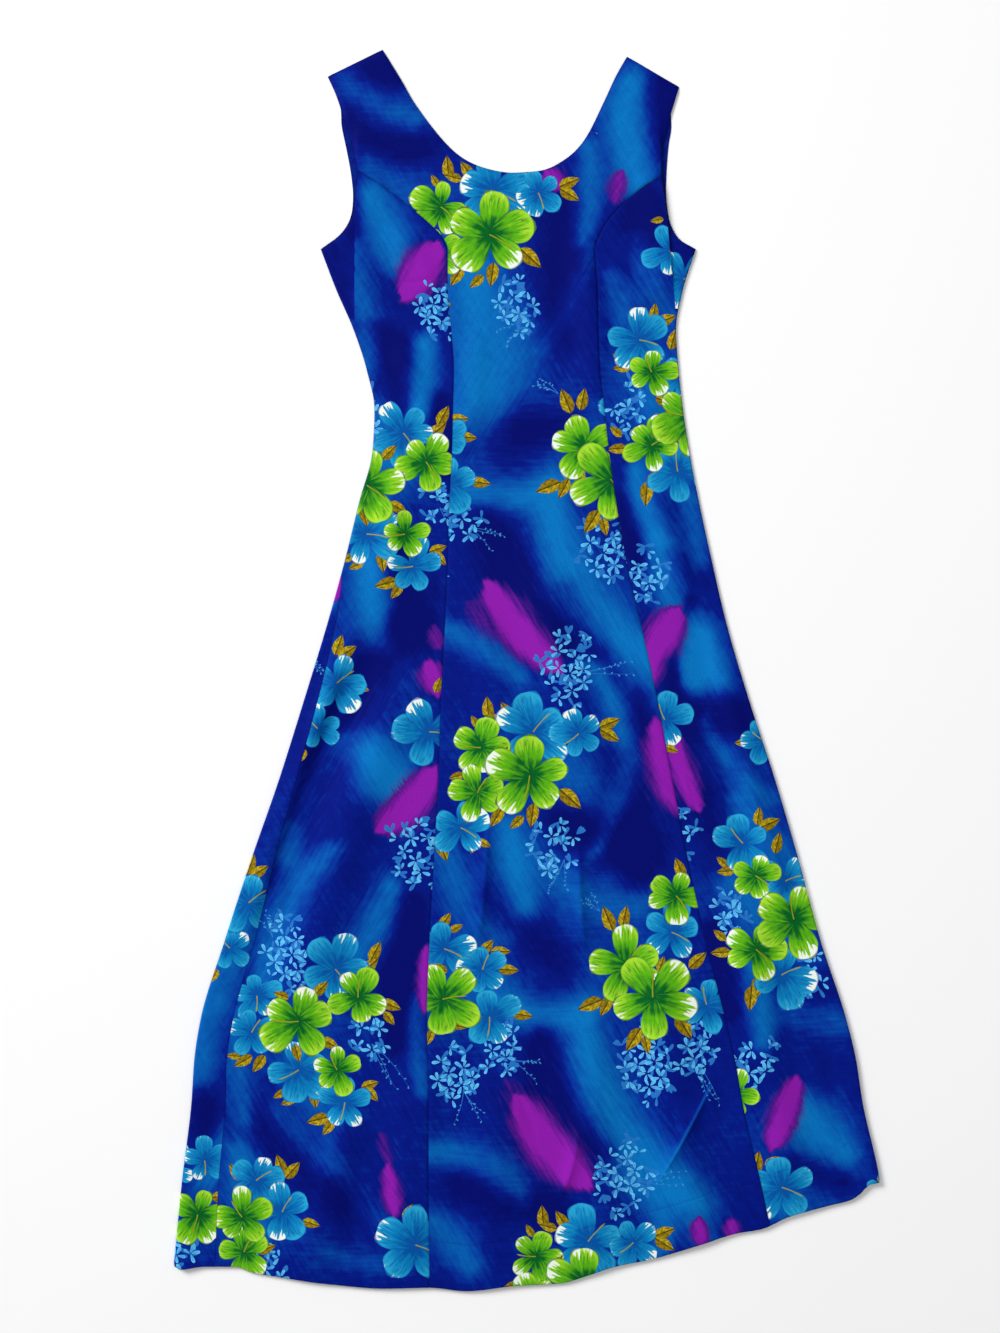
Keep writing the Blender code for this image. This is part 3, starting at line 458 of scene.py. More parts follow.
def between(t, start, end, leave, arrive):
    """A value between two others, on a curve with the given slopes at its ends. T runs from 0 to 1."""
    return (
        start * (1 + 2 * t) * (1 - t) ** 2
        + leave * t * (1 - t) ** 2
        + end * t * t * (3 - 2 * t)
        - arrive * t * t * (1 - t)
    )


class Curve:
    """A smooth curve through values at places. It never swings past them and is level beyond its ends."""

    def __init__(self, places, values):
        self.places = np.array(places, float)
        self.values = np.array(values, float)
        step = np.diff(self.places)
        rise = np.diff(self.values) / step
        slopes = np.empty(len(self.values))
        slopes[0] = rise[0]
        slopes[-1] = rise[-1]
        for i in range(1, len(step)):
            if rise[i - 1] * rise[i] <= 0:
                slopes[i] = 0.0
                continue
            before = 2 * step[i] + step[i - 1]
            after = step[i] + 2 * step[i - 1]
            slopes[i] = (before + after) / (before / rise[i - 1] + after / rise[i])
        self.slopes = slopes

    def __call__(self, place):
        place = np.clip(place, self.places[0], self.places[-1])
        i = np.clip(np.searchsorted(self.places, place) - 1, 0, len(self.places) - 2)
        width = self.places[i + 1] - self.places[i]
        t = (place - self.places[i]) / width
        slopes = self.slopes[i] * width, self.slopes[i + 1] * width
        return between(t, self.values[i], self.values[i + 1], *slopes)


def column(rows, name):
    """A curve of one named column of a table against its down column."""
    return Curve([row.down for row in rows], [getattr(row, name) for row in rows])


def seam_curve(top, name):
    """A princess seam from its armhole to the hem: its own rows over the bust, then the sections' rows."""
    rows = [(row.down, row.x) for row in top] + [(row.down, getattr(row, name)) for row in SECTIONS]
    return Curve([row[0] for row in rows], [row[1] for row in rows])


# Left and right: side is -1 at the left and 1 at the right in all that follows.
side_edge = {-1: column(SECTIONS, "left_edge"), 1: column(SECTIONS, "right_edge")}
side_wrap = {-1: column(SECTIONS, "left_wrap"), 1: column(SECTIONS, "right_wrap")}
left_seam = seam_curve(LEFT_SEAM_TOP, "left_seam")
right_seam = seam_curve(RIGHT_SEAM_TOP, "right_seam")
left_fold = column(PLEATS, "left_fold")
right_fold = column(PLEATS, "right_fold")
pleat_drop = column(PLEATS, "drop")
rest_height = column(REST_HEIGHTS, "height")
centre_back = column(CENTRE_BACK, "x")
hem_line = Curve([point.x for point in HEM], [point.down for point in HEM])
LONGEST = max(point.down for point in HEM)


def ease(t):
    """Rises smoothly from 0 to 1 as t does."""
    t = np.clip(t, 0.0, 1.0)
    return t * t * (3 - 2 * t)


def roll_radius(down):
    """The radius of the roll along each side edge, to the middle of the cloth."""
    share = ease((down - UNDERARM) / (LONGEST - UNDERARM))
    return EDGE_ROLL_TOP + (EDGE_ROLL_HEM - EDGE_ROLL_TOP) * share


def roll_centre(side, down):
    """Where the middle of the roll along a side edge lies."""
    return side_edge[side](down) - side * roll_radius(down)


def pleat_height(x, down):
    """How far the pleat lifts the cloth inside its fold. Outside the fold it drops away at once."""
    height = 0.0
    for outward in (left_fold(down) - x, x - right_fold(down)):
        beyond = 1 - ease(outward / PLEAT_HALF_WIDTH)
        inside = 1 - ease(-outward / PLEAT_EASE)
        height = height + pleat_drop(down) * np.where(outward > 0, beyond, inside)
    return height


def along_fold(fold, x, down):
    """How far along a fold each point lies, from 0 to 1, and how far aside of it."""
    run = math.hypot(fold.x1 - fold.x0, fold.down1 - fold.down0)
    ahead = ((fold.x1 - fold.x0) / run, (fold.down1 - fold.down0) / run)
    gone = ((x - fold.x0) * ahead[0] + (down - fold.down0) * ahead[1]) / run
    aside = (x - fold.x0) * ahead[1] - (down - fold.down0) * ahead[0]
    return gone, aside - fold.bow * 4 * gone * (1 - gone)


def fold_height(folds, x, down):
    """The sum of a table's folds at points of the cloth."""
    total = np.zeros(np.broadcast(x, down).shape)
    for fold in folds:
        gone, aside = along_fold(fold, x, down)
        width = np.maximum(fold.width0 + (fold.width1 - fold.width0) * gone, 1.0)
        fade = ease(np.minimum(gone, 1 - gone) / FOLD_FADE)
        total += fold.height * np.exp(-((aside / width) ** 2)) * fade
    return total


def front_height(x, down):
    """The height of the middle of the front layer."""
    free = rest_height(down) + fold_height(FOLDS, x, down) + pleat_height(x, down)
    free = LOWEST_FRONT + LOWEST_SOFTNESS * np.log1p(np.exp((free - LOWEST_FRONT) / LOWEST_SOFTNESS))
    free = free + fold_height(CREASES, x, down)
    inside = np.minimum(x - roll_centre(-1, down), roll_centre(1, down) - x)
    edge = BACK_HEIGHT + 2 * roll_radius(down)
    joined = edge + (free - edge) * ease(inside / EDGE_EASE)
    return free + (joined - free) * ease((down - UNDERARM + UNDERARM_EASE) / UNDERARM_EASE)


def rolled(along, down):
    """Rolls points of the flat cloth into their places: their x, down and height."""
    radius = roll_radius(down)
    left, right = roll_centre(-1, down), roll_centre(1, down)
    side = np.where(along < left, -1.0, 1.0)
    centre = np.where(side < 0, left, right)
    outside = np.maximum(left - along, along - right)
    turn = np.clip(outside / radius, 0, math.pi)
    beneath = np.maximum(outside - math.pi * radius, 0)
    x = np.where(outside > 0, centre + side * (radius * np.sin(turn) - beneath), along)
    lift = fold_height(BACK_CREASES, x, down) * ease(beneath / EDGE_EASE)
    height = BACK_HEIGHT + radius + radius * np.cos(turn) + lift
    return x, np.where(outside > 0, height, front_height(along, down))


def facing(along, down):
    """The directions that the cloth's outer side faces."""
    step = 0.4
    right_x, right_height = rolled(along + step, down)
    left_x, left_height = rolled(along - step, down)
    low_x, low_height = rolled(along, down + step)
    high_x, high_height = rolled(along, down - step)
    across = np.stack([right_x - left_x, np.zeros_like(left_x), right_height - left_height], 1)
    lengthways = np.stack([low_x - high_x, np.full_like(left_x, -2 * step), low_height - high_height], 1)
    normal = np.cross(lengthways, across)
    return normal / np.linalg.norm(normal, axis=1)[:, None]


def under(side, x, down):
    """Where a point of the back lies along the cloth, counted round the left or the right edge."""
    centre = roll_centre(side, down)
    return centre + side * math.pi * roll_radius(down) + (centre - x)


def side_seam(side, down):
    """A side seam: at the middle of its roll by the underarm, then turned with the dress to the right."""
    radius = roll_radius(down)
    wrap = side_wrap[side](down)
    middle = roll_centre(side, down) + side * math.pi * radius / 2
    return middle + (math.pi * radius / 2 + wrap - radius) * ease(wrap / (2 * radius))


def hem_down(along):
    """How far down the hem lies at places along the cloth. The back's hem is a little shorter."""
    along = np.asarray(along, float)
    down = np.full_like(along, LONGEST)
    for _ in range(4):
        x, _height = rolled(along, down)
        down = hem_line(x)
    share = np.clip((x - HEM[0].x) / (HEM[-1].x - HEM[0].x), 0.0, 1.0)
    # Cloth this far past an edge has rolled round it.
    rolls = 3 * roll_radius(down)
    hidden = (along < side_edge[-1](down) - rolls) | (along > side_edge[1](down) + rolls)
    return down - np.where(hidden, BACK_HEM_LIFT * np.sin(math.pi * share), 0.0)


def flowing(points, pitch):
    """Points about a pitch apart on a smooth curve through the given ones."""
    points = [np.array(point, float) for point in points]
    ends = [2 * points[0] - points[1]] + points + [2 * points[-1] - points[-2]]
    found = [points[0]]
    for before, start, end, after in zip(ends, ends[1:], ends[2:], ends[3:]):
        steps = max(1, round(float(np.linalg.norm(end - start)) / pitch))
        for i in range(1, steps + 1):
            found.append(between(i / steps, start, end, (end - before) / 2, (after - start) / 2))
    return np.array(found)


def rows_between(start, end, pitch):
    """Even rows from start to end, with both ends."""
    count = max(1, round(abs(end - start) / pitch))
    return np.linspace(start, end, count + 1)


def seam_path(curve, top):
    """A lengthways seam as points from its top to the hem."""
    rows = rows_between(top, float(hem_down(curve(LONGEST))), OUTLINE_PITCH)
    return np.stack([curve(rows), rows], 1)


def hem_path(start, end):
    """The hem between two places along the cloth."""
    places = rows_between(start, end, OUTLINE_PITCH)
    return np.stack([places, hem_down(places)], 1)


def beside(path, distance):
    """A path moved sideways by a distance, to the left of its own direction on the laid cloth."""
    ahead = np.gradient(path, axis=0)
    ahead /= np.maximum(np.linalg.norm(ahead, axis=1), 1e-9)[:, None]
    return path + distance * np.stack([ahead[:, 1], -ahead[:, 0]], 1)


def distance_to(path, points):
    """The distance from each point to a path."""
    starts, runs = path[:-1], np.diff(path, axis=0)
    square = np.maximum((runs * runs).sum(1), 1e-9)
    found = np.full(len(points), np.inf)
    for start, run, size in zip(starts, runs, square):
        gone = np.clip(((points - start) @ run) / size, 0, 1)
        found = np.minimum(found, np.linalg.norm(points - start - gone[:, None] * run, axis=1))
    return found


def within(points, outline):
    """Which points lie inside a closed outline."""
    inside = np.zeros(len(points), bool)
    for (x0, y0), (x1, y1) in zip(outline, np.roll(outline, -1, axis=0)):
        crossed = (y0 > points[:, 1]) != (y1 > points[:, 1])
        if y0 != y1:
            inside ^= crossed & (points[:, 0] < x0 + (points[:, 1] - y0) * (x1 - x0) / (y1 - y0))
    return inside


Edge = namedtuple("Edge", "kind path")
# A bust pleat's fold on a panel, and how far down it comes out of the armhole.
PleatFold = namedtuple("PleatFold", "line top")
Panel = namedtuple("Panel", "name edges pitch folds")


def front_centre():
    """The centre front with both straps. Its neckline is one deep scoop."""
    left = beside(seam_path(left_seam, LEFT_SEAM_TOP[0].down), SEAM_GAP / 2)
    right = beside(seam_path(right_seam, RIGHT_SEAM_TOP[0].down), -SEAM_GAP / 2)
    left_strap = flowing(LEFT_STRAP_EDGE, OUTLINE_PITCH)
    right_strap = flowing(RIGHT_STRAP_EDGE[::-1], OUTLINE_PITCH)
    neck = flowing(NECKLINE[::-1], OUTLINE_PITCH)
    edges = [
        Edge("seam", left),
        Edge("hem", hem_path(left[-1][0], right[-1][0])),
        Edge("seam", right[::-1]),
        Edge("armhole", right_strap),
        Edge("shoulder", flowing([right_strap[-1], neck[0]], OUTLINE_PITCH)),
        Edge("neck", neck),
        Edge("shoulder", flowing([neck[-1], left_strap[0]], OUTLINE_PITCH)),
        Edge("armhole", left_strap),
    ]
    return Panel("front_centre", edges, FRONT_PITCH, [])


def side_front_left():
    """The left side front: in to the princess seam, up to the armhole and out to the side seam."""
    inner = beside(seam_path(left_seam, LEFT_SEAM_TOP[0].down), -SEAM_GAP / 2)
    outer = beside(seam_path(partial(side_seam, -1), UNDERARM), SEAM_GAP / 2)
    edges = [
        Edge("side seam", outer),
        Edge("hem", hem_path(outer[-1][0], inner[-1][0])),
        Edge("seam", inner[::-1]),
        Edge("armhole", flowing(LEFT_UNDERARM, OUTLINE_PITCH)),
    ]
    return Panel("side_front_left", edges, FRONT_PITCH, [PleatFold(left_fold, 152)])


def side_front_right():
    """The right side front, which rolls round the right edge and ends under the dress."""
    inner = beside(seam_path(right_seam, RIGHT_SEAM_TOP[0].down), SEAM_GAP / 2)
    outer = beside(seam_path(partial(side_seam, 1), UNDERARM), -SEAM_GAP / 2)
    edges = [
        Edge("seam", inner),
        Edge("hem", hem_path(inner[-1][0], outer[-1][0])),
        Edge("side seam", outer[::-1]),
        Edge("armhole", flowing(RIGHT_UNDERARM[::-1], OUTLINE_PITCH)),
    ]
    return Panel("side_front_right", edges, FRONT_PITCH, [PleatFold(right_fold, 160)])


def split_neck(side):
    """One half of the back neckline, a little deeper and wider than the front's."""
    middle = (NECKLINE[0].x + NECKLINE[-1].x) / 2
    wider = [(middle + (p.x - middle) * BACK_NECK_WIDER, p.down + BACK_NECK_DROP) for p in NECKLINE]
    path = flowing(wider, OUTLINE_PITCH)
    half = path[(path[:, 0] - CENTRE_BACK[0].x) * side > SEAM_GAP]
    return half if side < 0 else half[::-1]


def turned_under(side, path):
    """A path on the laid back, as a path on the flat cloth."""
    return np.stack([under(side, path[:, 0], path[:, 1]), path[:, 1]], 1)


def back(name, side, armhole):
    """One back panel, from the centre back seam round its edge to the side seam."""
    rows = rows_between(CENTRE_BACK[0].down, LONGEST, OUTLINE_PITCH)
    centre = turned_under(side, np.stack([centre_back(rows) + side * SEAM_GAP / 2, rows], 1))
    centre[-1, 1] = hem_down(centre[-1, 0])
    outer = beside(seam_path(partial(side_seam, side), UNDERARM), side * SEAM_GAP / 2)
    arm = turned_under(side, flowing(armhole, OUTLINE_PITCH))
    neck = turned_under(side, split_neck(side))
    edges = [
        Edge("seam", centre),
        Edge("hem", hem_path(centre[-1][0], outer[-1][0])),
        Edge("side seam", outer[::-1]),
        Edge("armhole", arm[::-1]),
        Edge("shoulder", flowing([arm[0], neck[0]], OUTLINE_PITCH)),
        Edge("neck", neck),
    ]
    return Panel(name, edges, BACK_PITCH, [])


def back_left():
    """The left back panel, which wraps round the left edge to the front."""
    return back("back_left", -1, LEFT_BACK_ARMHOLE)


def back_right():
    """The right back panel, which lies under the dress."""
    return back("back_right", 1, RIGHT_BACK_ARMHOLE)


OUTLINE_APART = 0.2


def tidy_outline(panel):
    """The panel's closed outline, without points that lie on each other."""
    points = np.concatenate([edge.path for edge in panel.edges])
    kept = [points[0]]
    for point in points[1:]:
        if np.linalg.norm(point - kept[-1]) > OUTLINE_APART:
            kept.append(point)
    while np.linalg.norm(kept[-1] - kept[0]) <= OUTLINE_APART:
        kept.pop()
    return np.array(kept)


# How each kind of edge is finished: rows of points this far inside it, how far it dips and over what
# distance, and how dark the painted shade along it is.
Finish = namedtuple("Finish", "rows dip reach shade")
FINISHES = {
    "seam": Finish((0.7, 1.5, 2.6, 4.4, 7.5, 11.0, 13.5), 0.70, 1.4, 0.48),
    "side seam": Finish((0.7, 1.5, 2.6, 4.4, 7.5), 0.35, 1.2, 0.25),
    "hem": Finish((0.9, 1.8, 3.2, 49.5, 51.8, 52.6, 53.2, 54.0, 56.0), 0.35, 1.6, 0.45),
    "neck": Finish((0.8, 1.6, 2.8, 4.6, 7.5), 0.9, 3.2, 0.55),
    "armhole": Finish((0.8, 1.6, 2.8, 4.6, 7.5), 0.8, 3.0, 0.55),
    "shoulder": Finish((0.8, 1.6, 2.6, 4.4, 7.0), 1.5, 4.0, 0.5),
}
# Over what distance the painted shade along an edge fades.
SHADE_REACH = 0.9
# The seam allowances under the centre front lift it a little, from the seam to their own edge.
ALLOWANCE = 12.0
ALLOWANCE_LIFT = 0.28
ALLOWANCE_RISE = 1.5
ALLOWANCE_FALL = 2.5
# The turned hem lifts the cloth up to its stitching, which dents it, and painted shade darkens the
# stitching line.
HEM_LIFT = 0.35
HEM_STEP = 4.0
STITCH_DENT = 0.30
STITCH_REACH = 0.9
STITCH_SHADE = 0.30
STITCH_SHADE_REACH = 0.8


def painted_edge_shade(panel, points):
    """How dark the painted shade is where the cloth turns into a seam or round a sewn edge, from 0 to 1."""
    shade = np.zeros(len(points))
    for edge in panel.edges:
        away = distance_to(edge.path, points)
        shade = np.maximum(shade, FINISHES[edge.kind].shade * np.exp(-((away / SHADE_REACH) ** 2)))
        if edge.kind == "hem":
            stitches = np.exp(-(((away - HEM_DEPTH) / STITCH_SHADE_REACH) ** 2))
            shade = np.maximum(shade, STITCH_SHADE * stitches)
    return shade


def finish_lift(panel, points):
    """How far the finish of a panel's edges moves its points out of the plain cloth."""
    lift = np.zeros(len(points))
    hidden = panel.name.startswith("back")
    for edge in panel.edges:
        away = distance_to(edge.path, points)
        finish = FINISHES[edge.kind]
        dip = min(finish.dip, BACK_HEIGHT - CLOTH / 2) if hidden else finish.dip
        lift -= dip * np.exp(-((away / finish.reach) ** 2))
        if edge.kind == "hem":
            turned = HEM_LIFT * (1 - ease((away - HEM_DEPTH + HEM_STEP / 2) / HEM_STEP))
            stitched = STITCH_DENT * np.exp(-(((away - HEM_DEPTH) / STITCH_REACH) ** 2))
            upwards = np.clip(facing(points[:, 0], points[:, 1])[:, 2], 0, 1)
            lift += upwards * (turned - stitched)
        if edge.kind == "seam" and panel.name == "front_centre":
            fall = 1 - ease((away - ALLOWANCE) / ALLOWANCE_FALL)
            lift += ALLOWANCE_LIFT * ease(away / ALLOWANCE_RISE) * fall
    return lift


def edge_rows(panel):
    """Rows of points at both sides of each edge of a panel. Those outside the panel are left out later."""
    rows = []
    for edge in panel.edges:
        for distance in FINISHES[edge.kind].rows:
            for side in (-1, 1):
                rows.append(beside(edge.path, side * distance))
    return rows


# Rows of points beside a crease, in shares of its width, and how many points each has.
CREASE_SHARES = (-1.8, -1.0, -0.4, 0.4, 1.0, 1.8)
CREASE_POINTS = 40


def crease_rows(panel):
    """Rows of points along the narrow creases of the front."""
    rows = []
    for crease in CREASES if panel.name.startswith(("front", "side")) else []:
        gone = np.linspace(0, 1, CREASE_POINTS)
        run = np.array([crease.x1 - crease.x0, crease.down1 - crease.down0])
        ahead = run / np.linalg.norm(run)
        across = np.array([ahead[1], -ahead[0]])
        bow = crease.bow * 4 * gone * (1 - gone)
        middle = np.array([crease.x0, crease.down0]) + gone[:, None] * run
        for share in CREASE_SHARES:
            rows.append(middle + (bow + share * crease.width0)[:, None] * across)
    return rows


def guide_lines(panel):
    """Lines along the rolled edges and the bust pleats' folds, which no face of the sheet crosses."""
    lines = []
    down = np.arange(UNDERARM + ROLL_START, LONGEST, OUTLINE_PITCH)
    radius = roll_radius(down)
    for turn in np.linspace(0, math.pi, ROLL_LINES):
        for side in (-1, 1):
            lines.append(np.stack([roll_centre(side, down) + side * turn * radius, down], 1))
    for fold in panel.folds:
        down = rows_between(fold.top, PLEATS[-1].down, OUTLINE_PITCH)
        for share in (-1.0, -0.5, 0.0, 0.5, 1.0):
            lines.append(np.stack([fold.line(down) + share * PLEAT_HALF_WIDTH, down], 1))
    return lines


def lattice(outline, pitch):
    """An even lattice of points over an outline's box, in offset rows."""
    low, high = outline.min(0), outline.max(0)
    rows = []
    for i, down in enumerate(np.arange(low[1], high[1], pitch * math.sqrt(0.75))):
        start = low[0] + (pitch / 2 if i % 2 else 0.0)
        along = np.arange(start, high[0], pitch)
        rows.append(np.stack([along, np.full_like(along, down)], 1))
    return np.concatenate(rows)


class Thinned:
    """Points that were kept, in square cells, so that the ones near a place are found quickly."""

    CELL = 1.2

    def __init__(self):
        self.cells = {}

    def near(self, point, apart):
        """Whether a kept point is nearer than asked."""
        reach = math.ceil(apart / self.CELL)
        cx, cy = int(point[0] // self.CELL), int(point[1] // self.CELL)
        for i in range(cx - reach, cx + reach + 1):
            for j in range(cy - reach, cy + reach + 1):
                for other in self.cells.get((i, j), ()):
                    if (other[0] - point[0]) ** 2 + (other[1] - point[1]) ** 2 < apart * apart:
                        return True
        return False

    def keep(self, point):
        """Keeps a point."""
        cell = (int(point[0] // self.CELL), int(point[1] // self.CELL))
        self.cells.setdefault(cell, []).append(point)


# What a face of the sheet can show. The order is that of the materials.
KINDS = ("ground", "green", "blue", "leaf", "floret", "stamen")
# A shape of the print: its kind, outline, the map from cloth to its own place, how white a petal's tip or
# how dim a floret is, and whether it shows only past a pleat's fold.
Shape = namedtuple("Shape", "kind outline origin ahead across tip past_fold", defaults=(False,))

# A petal's outline is an egg: its middle and half length along the petal, how broad it is, and how much
# more so towards its tip.
PETAL_MIDDLE = 0.48
PETAL_HALF = 0.52
PETAL_WIDTH = 0.46
PETAL_TAPER = 0.33
# A petal's wavy edge: how many waves go round it and how deep they are.
PETAL_WAVES = ((4, 0.045), (7, 0.034))
# How white the tips of a flower's petals are. Each flower deals them out in its own order.
TIPS = {"green": [0.0, 0.3, 0.5, 0.7, 0.95], "blue": [0.0, 0.0, 0.3, 0.6, 0.95]}
PETALS = 5
PETAL_STEP = 360 / PETALS
# How far a petal leans aside in degrees, and between what shares its length and width differ.
PETAL_LEAN = 13
PETAL_LENGTHS = (0.86, 1.17)
PETAL_WIDTHS = (0.90, 1.20)
PETAL_POINTS = 24
FLORET_POINTS = 10
STAMEN_LENGTH = 0.66
LEAF_WIDTH = 0.26


def petal(kind, centre, angle, length, width, tip, ripples):
    """One petal from a flower's centre. Its ripples are the turns that its wavy edge starts from."""
    direction = np.array([math.cos(angle), math.sin(angle)])
    ahead = direction * length
    across = np.array([-direction[1], direction[0]]) * length * width
    count = FLORET_POINTS if kind == "floret" else PETAL_POINTS
    turn = np.linspace(0, 2 * math.pi, count, endpoint=False)
    outer = 0.5 + 0.5 * np.cos(turn)
    waves = [depth * np.sin(number * turn + start) for (number, depth), start in zip(PETAL_WAVES, ripples)]
    wavy = 1 + outer * (waves[0] + waves[1])
    u = PETAL_MIDDLE + PETAL_HALF * np.cos(turn) * wavy
    v = np.sin(turn) * (1 - PETAL_TAPER + PETAL_TAPER * np.cos(turn)) * wavy
    return Shape(kind, centre + u[:, None] * ahead + v[:, None] * across, centre, ahead, across, tip)


def flower(motif, centre, turn, chance):
    """Five broad uneven petals, each laid over the last, and a stamen."""
    shapes = []
    lean = chance.uniform(-PETAL_LEAN, PETAL_LEAN, PETALS)
    tips = chance.permutation(TIPS[motif.kind])
    for i in range(PETALS):
        angle = math.radians(turn + PETAL_STEP * i + lean[i])
        length = motif.size * chance.uniform(*PETAL_LENGTHS)
        width = PETAL_WIDTH * chance.uniform(*PETAL_WIDTHS)
        ripples = chance.uniform(0, 2 * math.pi, 2)
        shapes.append(petal(motif.kind, centre, angle, length, width, tips[i], ripples))
    gap = PETAL_STEP / 2 + PETAL_STEP * chance.integers(0, PETALS)
    shapes.append(stamen(centre, math.radians(turn + gap), motif.size * STAMEN_LENGTH))
    return shapes


def stamen(centre, angle, length):
    """A thin bent line from a flower's centre with a small head."""
    ahead = np.array([math.cos(angle), math.sin(angle)])
    across = np.array([-ahead[1], ahead[0]])
    gone = np.linspace(0, 1, 9)
    middle = centre + gone[:, None] * ahead * length + (0.14 * length * gone ** 2)[:, None] * across
    thick = np.interp(gone, [0, 0.6, 0.85, 1], [0.7, 0.5, 1.0, 0.2])[:, None] * across
    outline = np.concatenate([middle + thick, (middle - thick)[::-1]])
    return Shape("stamen", outline, centre, ahead * length, across * 1.3, 0.0)


def leaf(motif, centre, turn):
    """A pointed leaf on its own middle."""
    angle = math.radians(turn)
    direction = np.array([math.cos(angle), math.sin(angle)])
    ahead = direction * motif.size
    across = np.array([-direction[1], direction[0]]) * motif.size * LEAF_WIDTH
    u = np.array([0, 0.12, 0.30, 0.50, 0.70, 0.86, 1.0])
    v = np.array([0, 0.62, 0.98, 0.96, 0.66, 0.30, 0.0])
    origin = centre - ahead / 2
    upper = origin + u[:, None] * ahead + v[:, None] * across
    lower = origin + u[:, None] * ahead - v[:, None] * across
    outline = np.concatenate([upper, lower[-2:0:-1]])
    return Shape("leaf", outline, origin, ahead, across, 0.0)


FLORET_APART = 14.0
FLORET_WIDTH = 0.30
FLORET_TRIES = 200
FLORET_LEAN = 17
FLORET_LENGTHS = (7.4, 10.8)
# The dim florets behind a spray: how long their petals are, and how far aside they lie.
DIM_LENGTHS = (9, 12)
DIM_SHIFT = 9
# Where a spray begins to break up, as a share of its radius.
SPRAY_HEART = 0.62


def spray(motif, centre, chance):
    """A loose spray of small florets, whole in its middle and broken up round it, with dim ones behind."""
    shapes = []
    placed = []
    for _ in range(FLORET_TRIES):
        reach = motif.size * math.sqrt(chance.uniform(0, 1))
        angle = chance.uniform(0, 2 * math.pi)
        place = centre + reach * np.array([0.68 * math.cos(angle), math.sin(angle)])
        if all(np.linalg.norm(place - other) > FLORET_APART for other in placed):
            placed.append(place)
    for place in placed:
        dim = place + chance.uniform(-DIM_SHIFT, DIM_SHIFT, 2)
        for angle in chance.uniform(0, 2 * math.pi, 4):
            ripples = chance.uniform(0, 2 * math.pi, 2)
            length = chance.uniform(*DIM_LENGTHS)
            shapes.append(petal("floret", dim, angle, length, FLORET_WIDTH * 0.8, 1.0, ripples))
    for place in placed:
        outer = np.linalg.norm(place - centre) / motif.size
        petals = int(chance.integers(4, 6) if outer < SPRAY_HEART else chance.integers(2, 5))
        turn = chance.uniform(0, 360)
        for i in range(petals):
            angle = math.radians(turn + PETAL_STEP * i + chance.uniform(-FLORET_LEAN, FLORET_LEAN))
            base = place + 1.8 * np.array([math.cos(angle), math.sin(angle)])
            ripples = chance.uniform(0, 2 * math.pi, 2)
            length = chance.uniform(*FLORET_LENGTHS) * (1.0 - 0.2 * outer)
            shade = chance.uniform(0.0, 0.45)
            shapes.append(petal("floret", base, angle, length, FLORET_WIDTH, shade, ripples))
    return shapes


def twig(motif, centre, turn, chance):
    """A few faint curling twigs with dots, drawn with a fine brush."""
    shapes = []
    for _ in range(3):
        angle = math.radians(turn + chance.uniform(-26, 26))
        ahead = np.array([math.cos(angle), math.sin(angle)])
        across = np.array([-ahead[1], ahead[0]])
        gone = np.linspace(0, 1, 8)
        length = motif.size * chance.uniform(0.7, 1.0)
        curl = chance.uniform(-0.3, 0.3) * length
        middle = centre + gone[:, None] * ahead * length + (curl * gone ** 2)[:, None] * across
        thick = (0.35 * (1 - gone) + 0.08)[:, None] * across
        outline = np.concatenate([middle + thick, (middle - thick)[::-1]])
        shapes.append(Shape("floret", outline, centre, ahead * length, across, 0.9))
        for place in middle[3:]:
            side = math.radians(math.degrees(angle) + chance.choice([-50, 50]))
            ripples = chance.uniform(0, 2 * math.pi, 2)
            shapes.append(petal("floret", place, side, chance.uniform(2.2, 3.4), 0.34, 0.6, ripples))
    return shapes


def shapes_of(placed, chance):
    """All shapes of one placed bouquet, from the lowest to the uppermost."""
    turn = math.radians(placed.turn)
    spin = np.array([[math.cos(turn), -math.sin(turn)], [math.sin(turn), math.cos(turn)]])
    shapes = []
    for motif in placed.bouquet:
        centre = np.array([placed.x, placed.down]) + spin @ np.array([motif.x, motif.down])
        if motif.kind == "leaf":
            shapes.append(leaf(motif, centre, motif.turn + placed.turn))
        elif motif.kind == "spray":
            shapes += spray(motif, centre, chance)
        elif motif.kind == "twig":
            shapes += twig(motif, centre, motif.turn + placed.turn, chance)
        else:
            shapes += flower(motif, centre, motif.turn + placed.turn, chance)
    return shapes


def panel_shapes(panel, outline):
    """The shapes of the print that touch a panel."""
    chance = np.random.default_rng(sum(map(ord, panel.name)))
    shapes = []
    for placed in BOUQUETS[panel.name]:
        shapes += shapes_of(placed, chance)
    if panel.name == "side_front_right":
        for placed in BEYOND_FOLD:
            shapes += [shape._replace(past_fold=True) for shape in shapes_of(placed, chance)]
    inside = within(np.concatenate([shape.outline for shape in shapes]), outline)
    ends = np.cumsum([len(shape.outline) for shape in shapes])
    return [shape for shape, end in zip(shapes, ends) if inside[end - len(shape.outline):end].any()]


# How near two points of a sheet may come: on its guide lines, beside its edges, along its creases, and, as
# a share of the pitch, in the lattice between. Points closer than the last one are taken for the same.
GUIDES_APART = 0.3
EDGE_ROWS_APART = 0.55
CREASE_ROWS_APART = 0.9
LATTICE_APART = 0.42
SAME_POINT = 1e-3


def closed_loop(first, count):
    """The edges of a closed outline whose points are numbered from first on."""
    return [(first + i, first + (i + 1) % count) for i in range(count)]


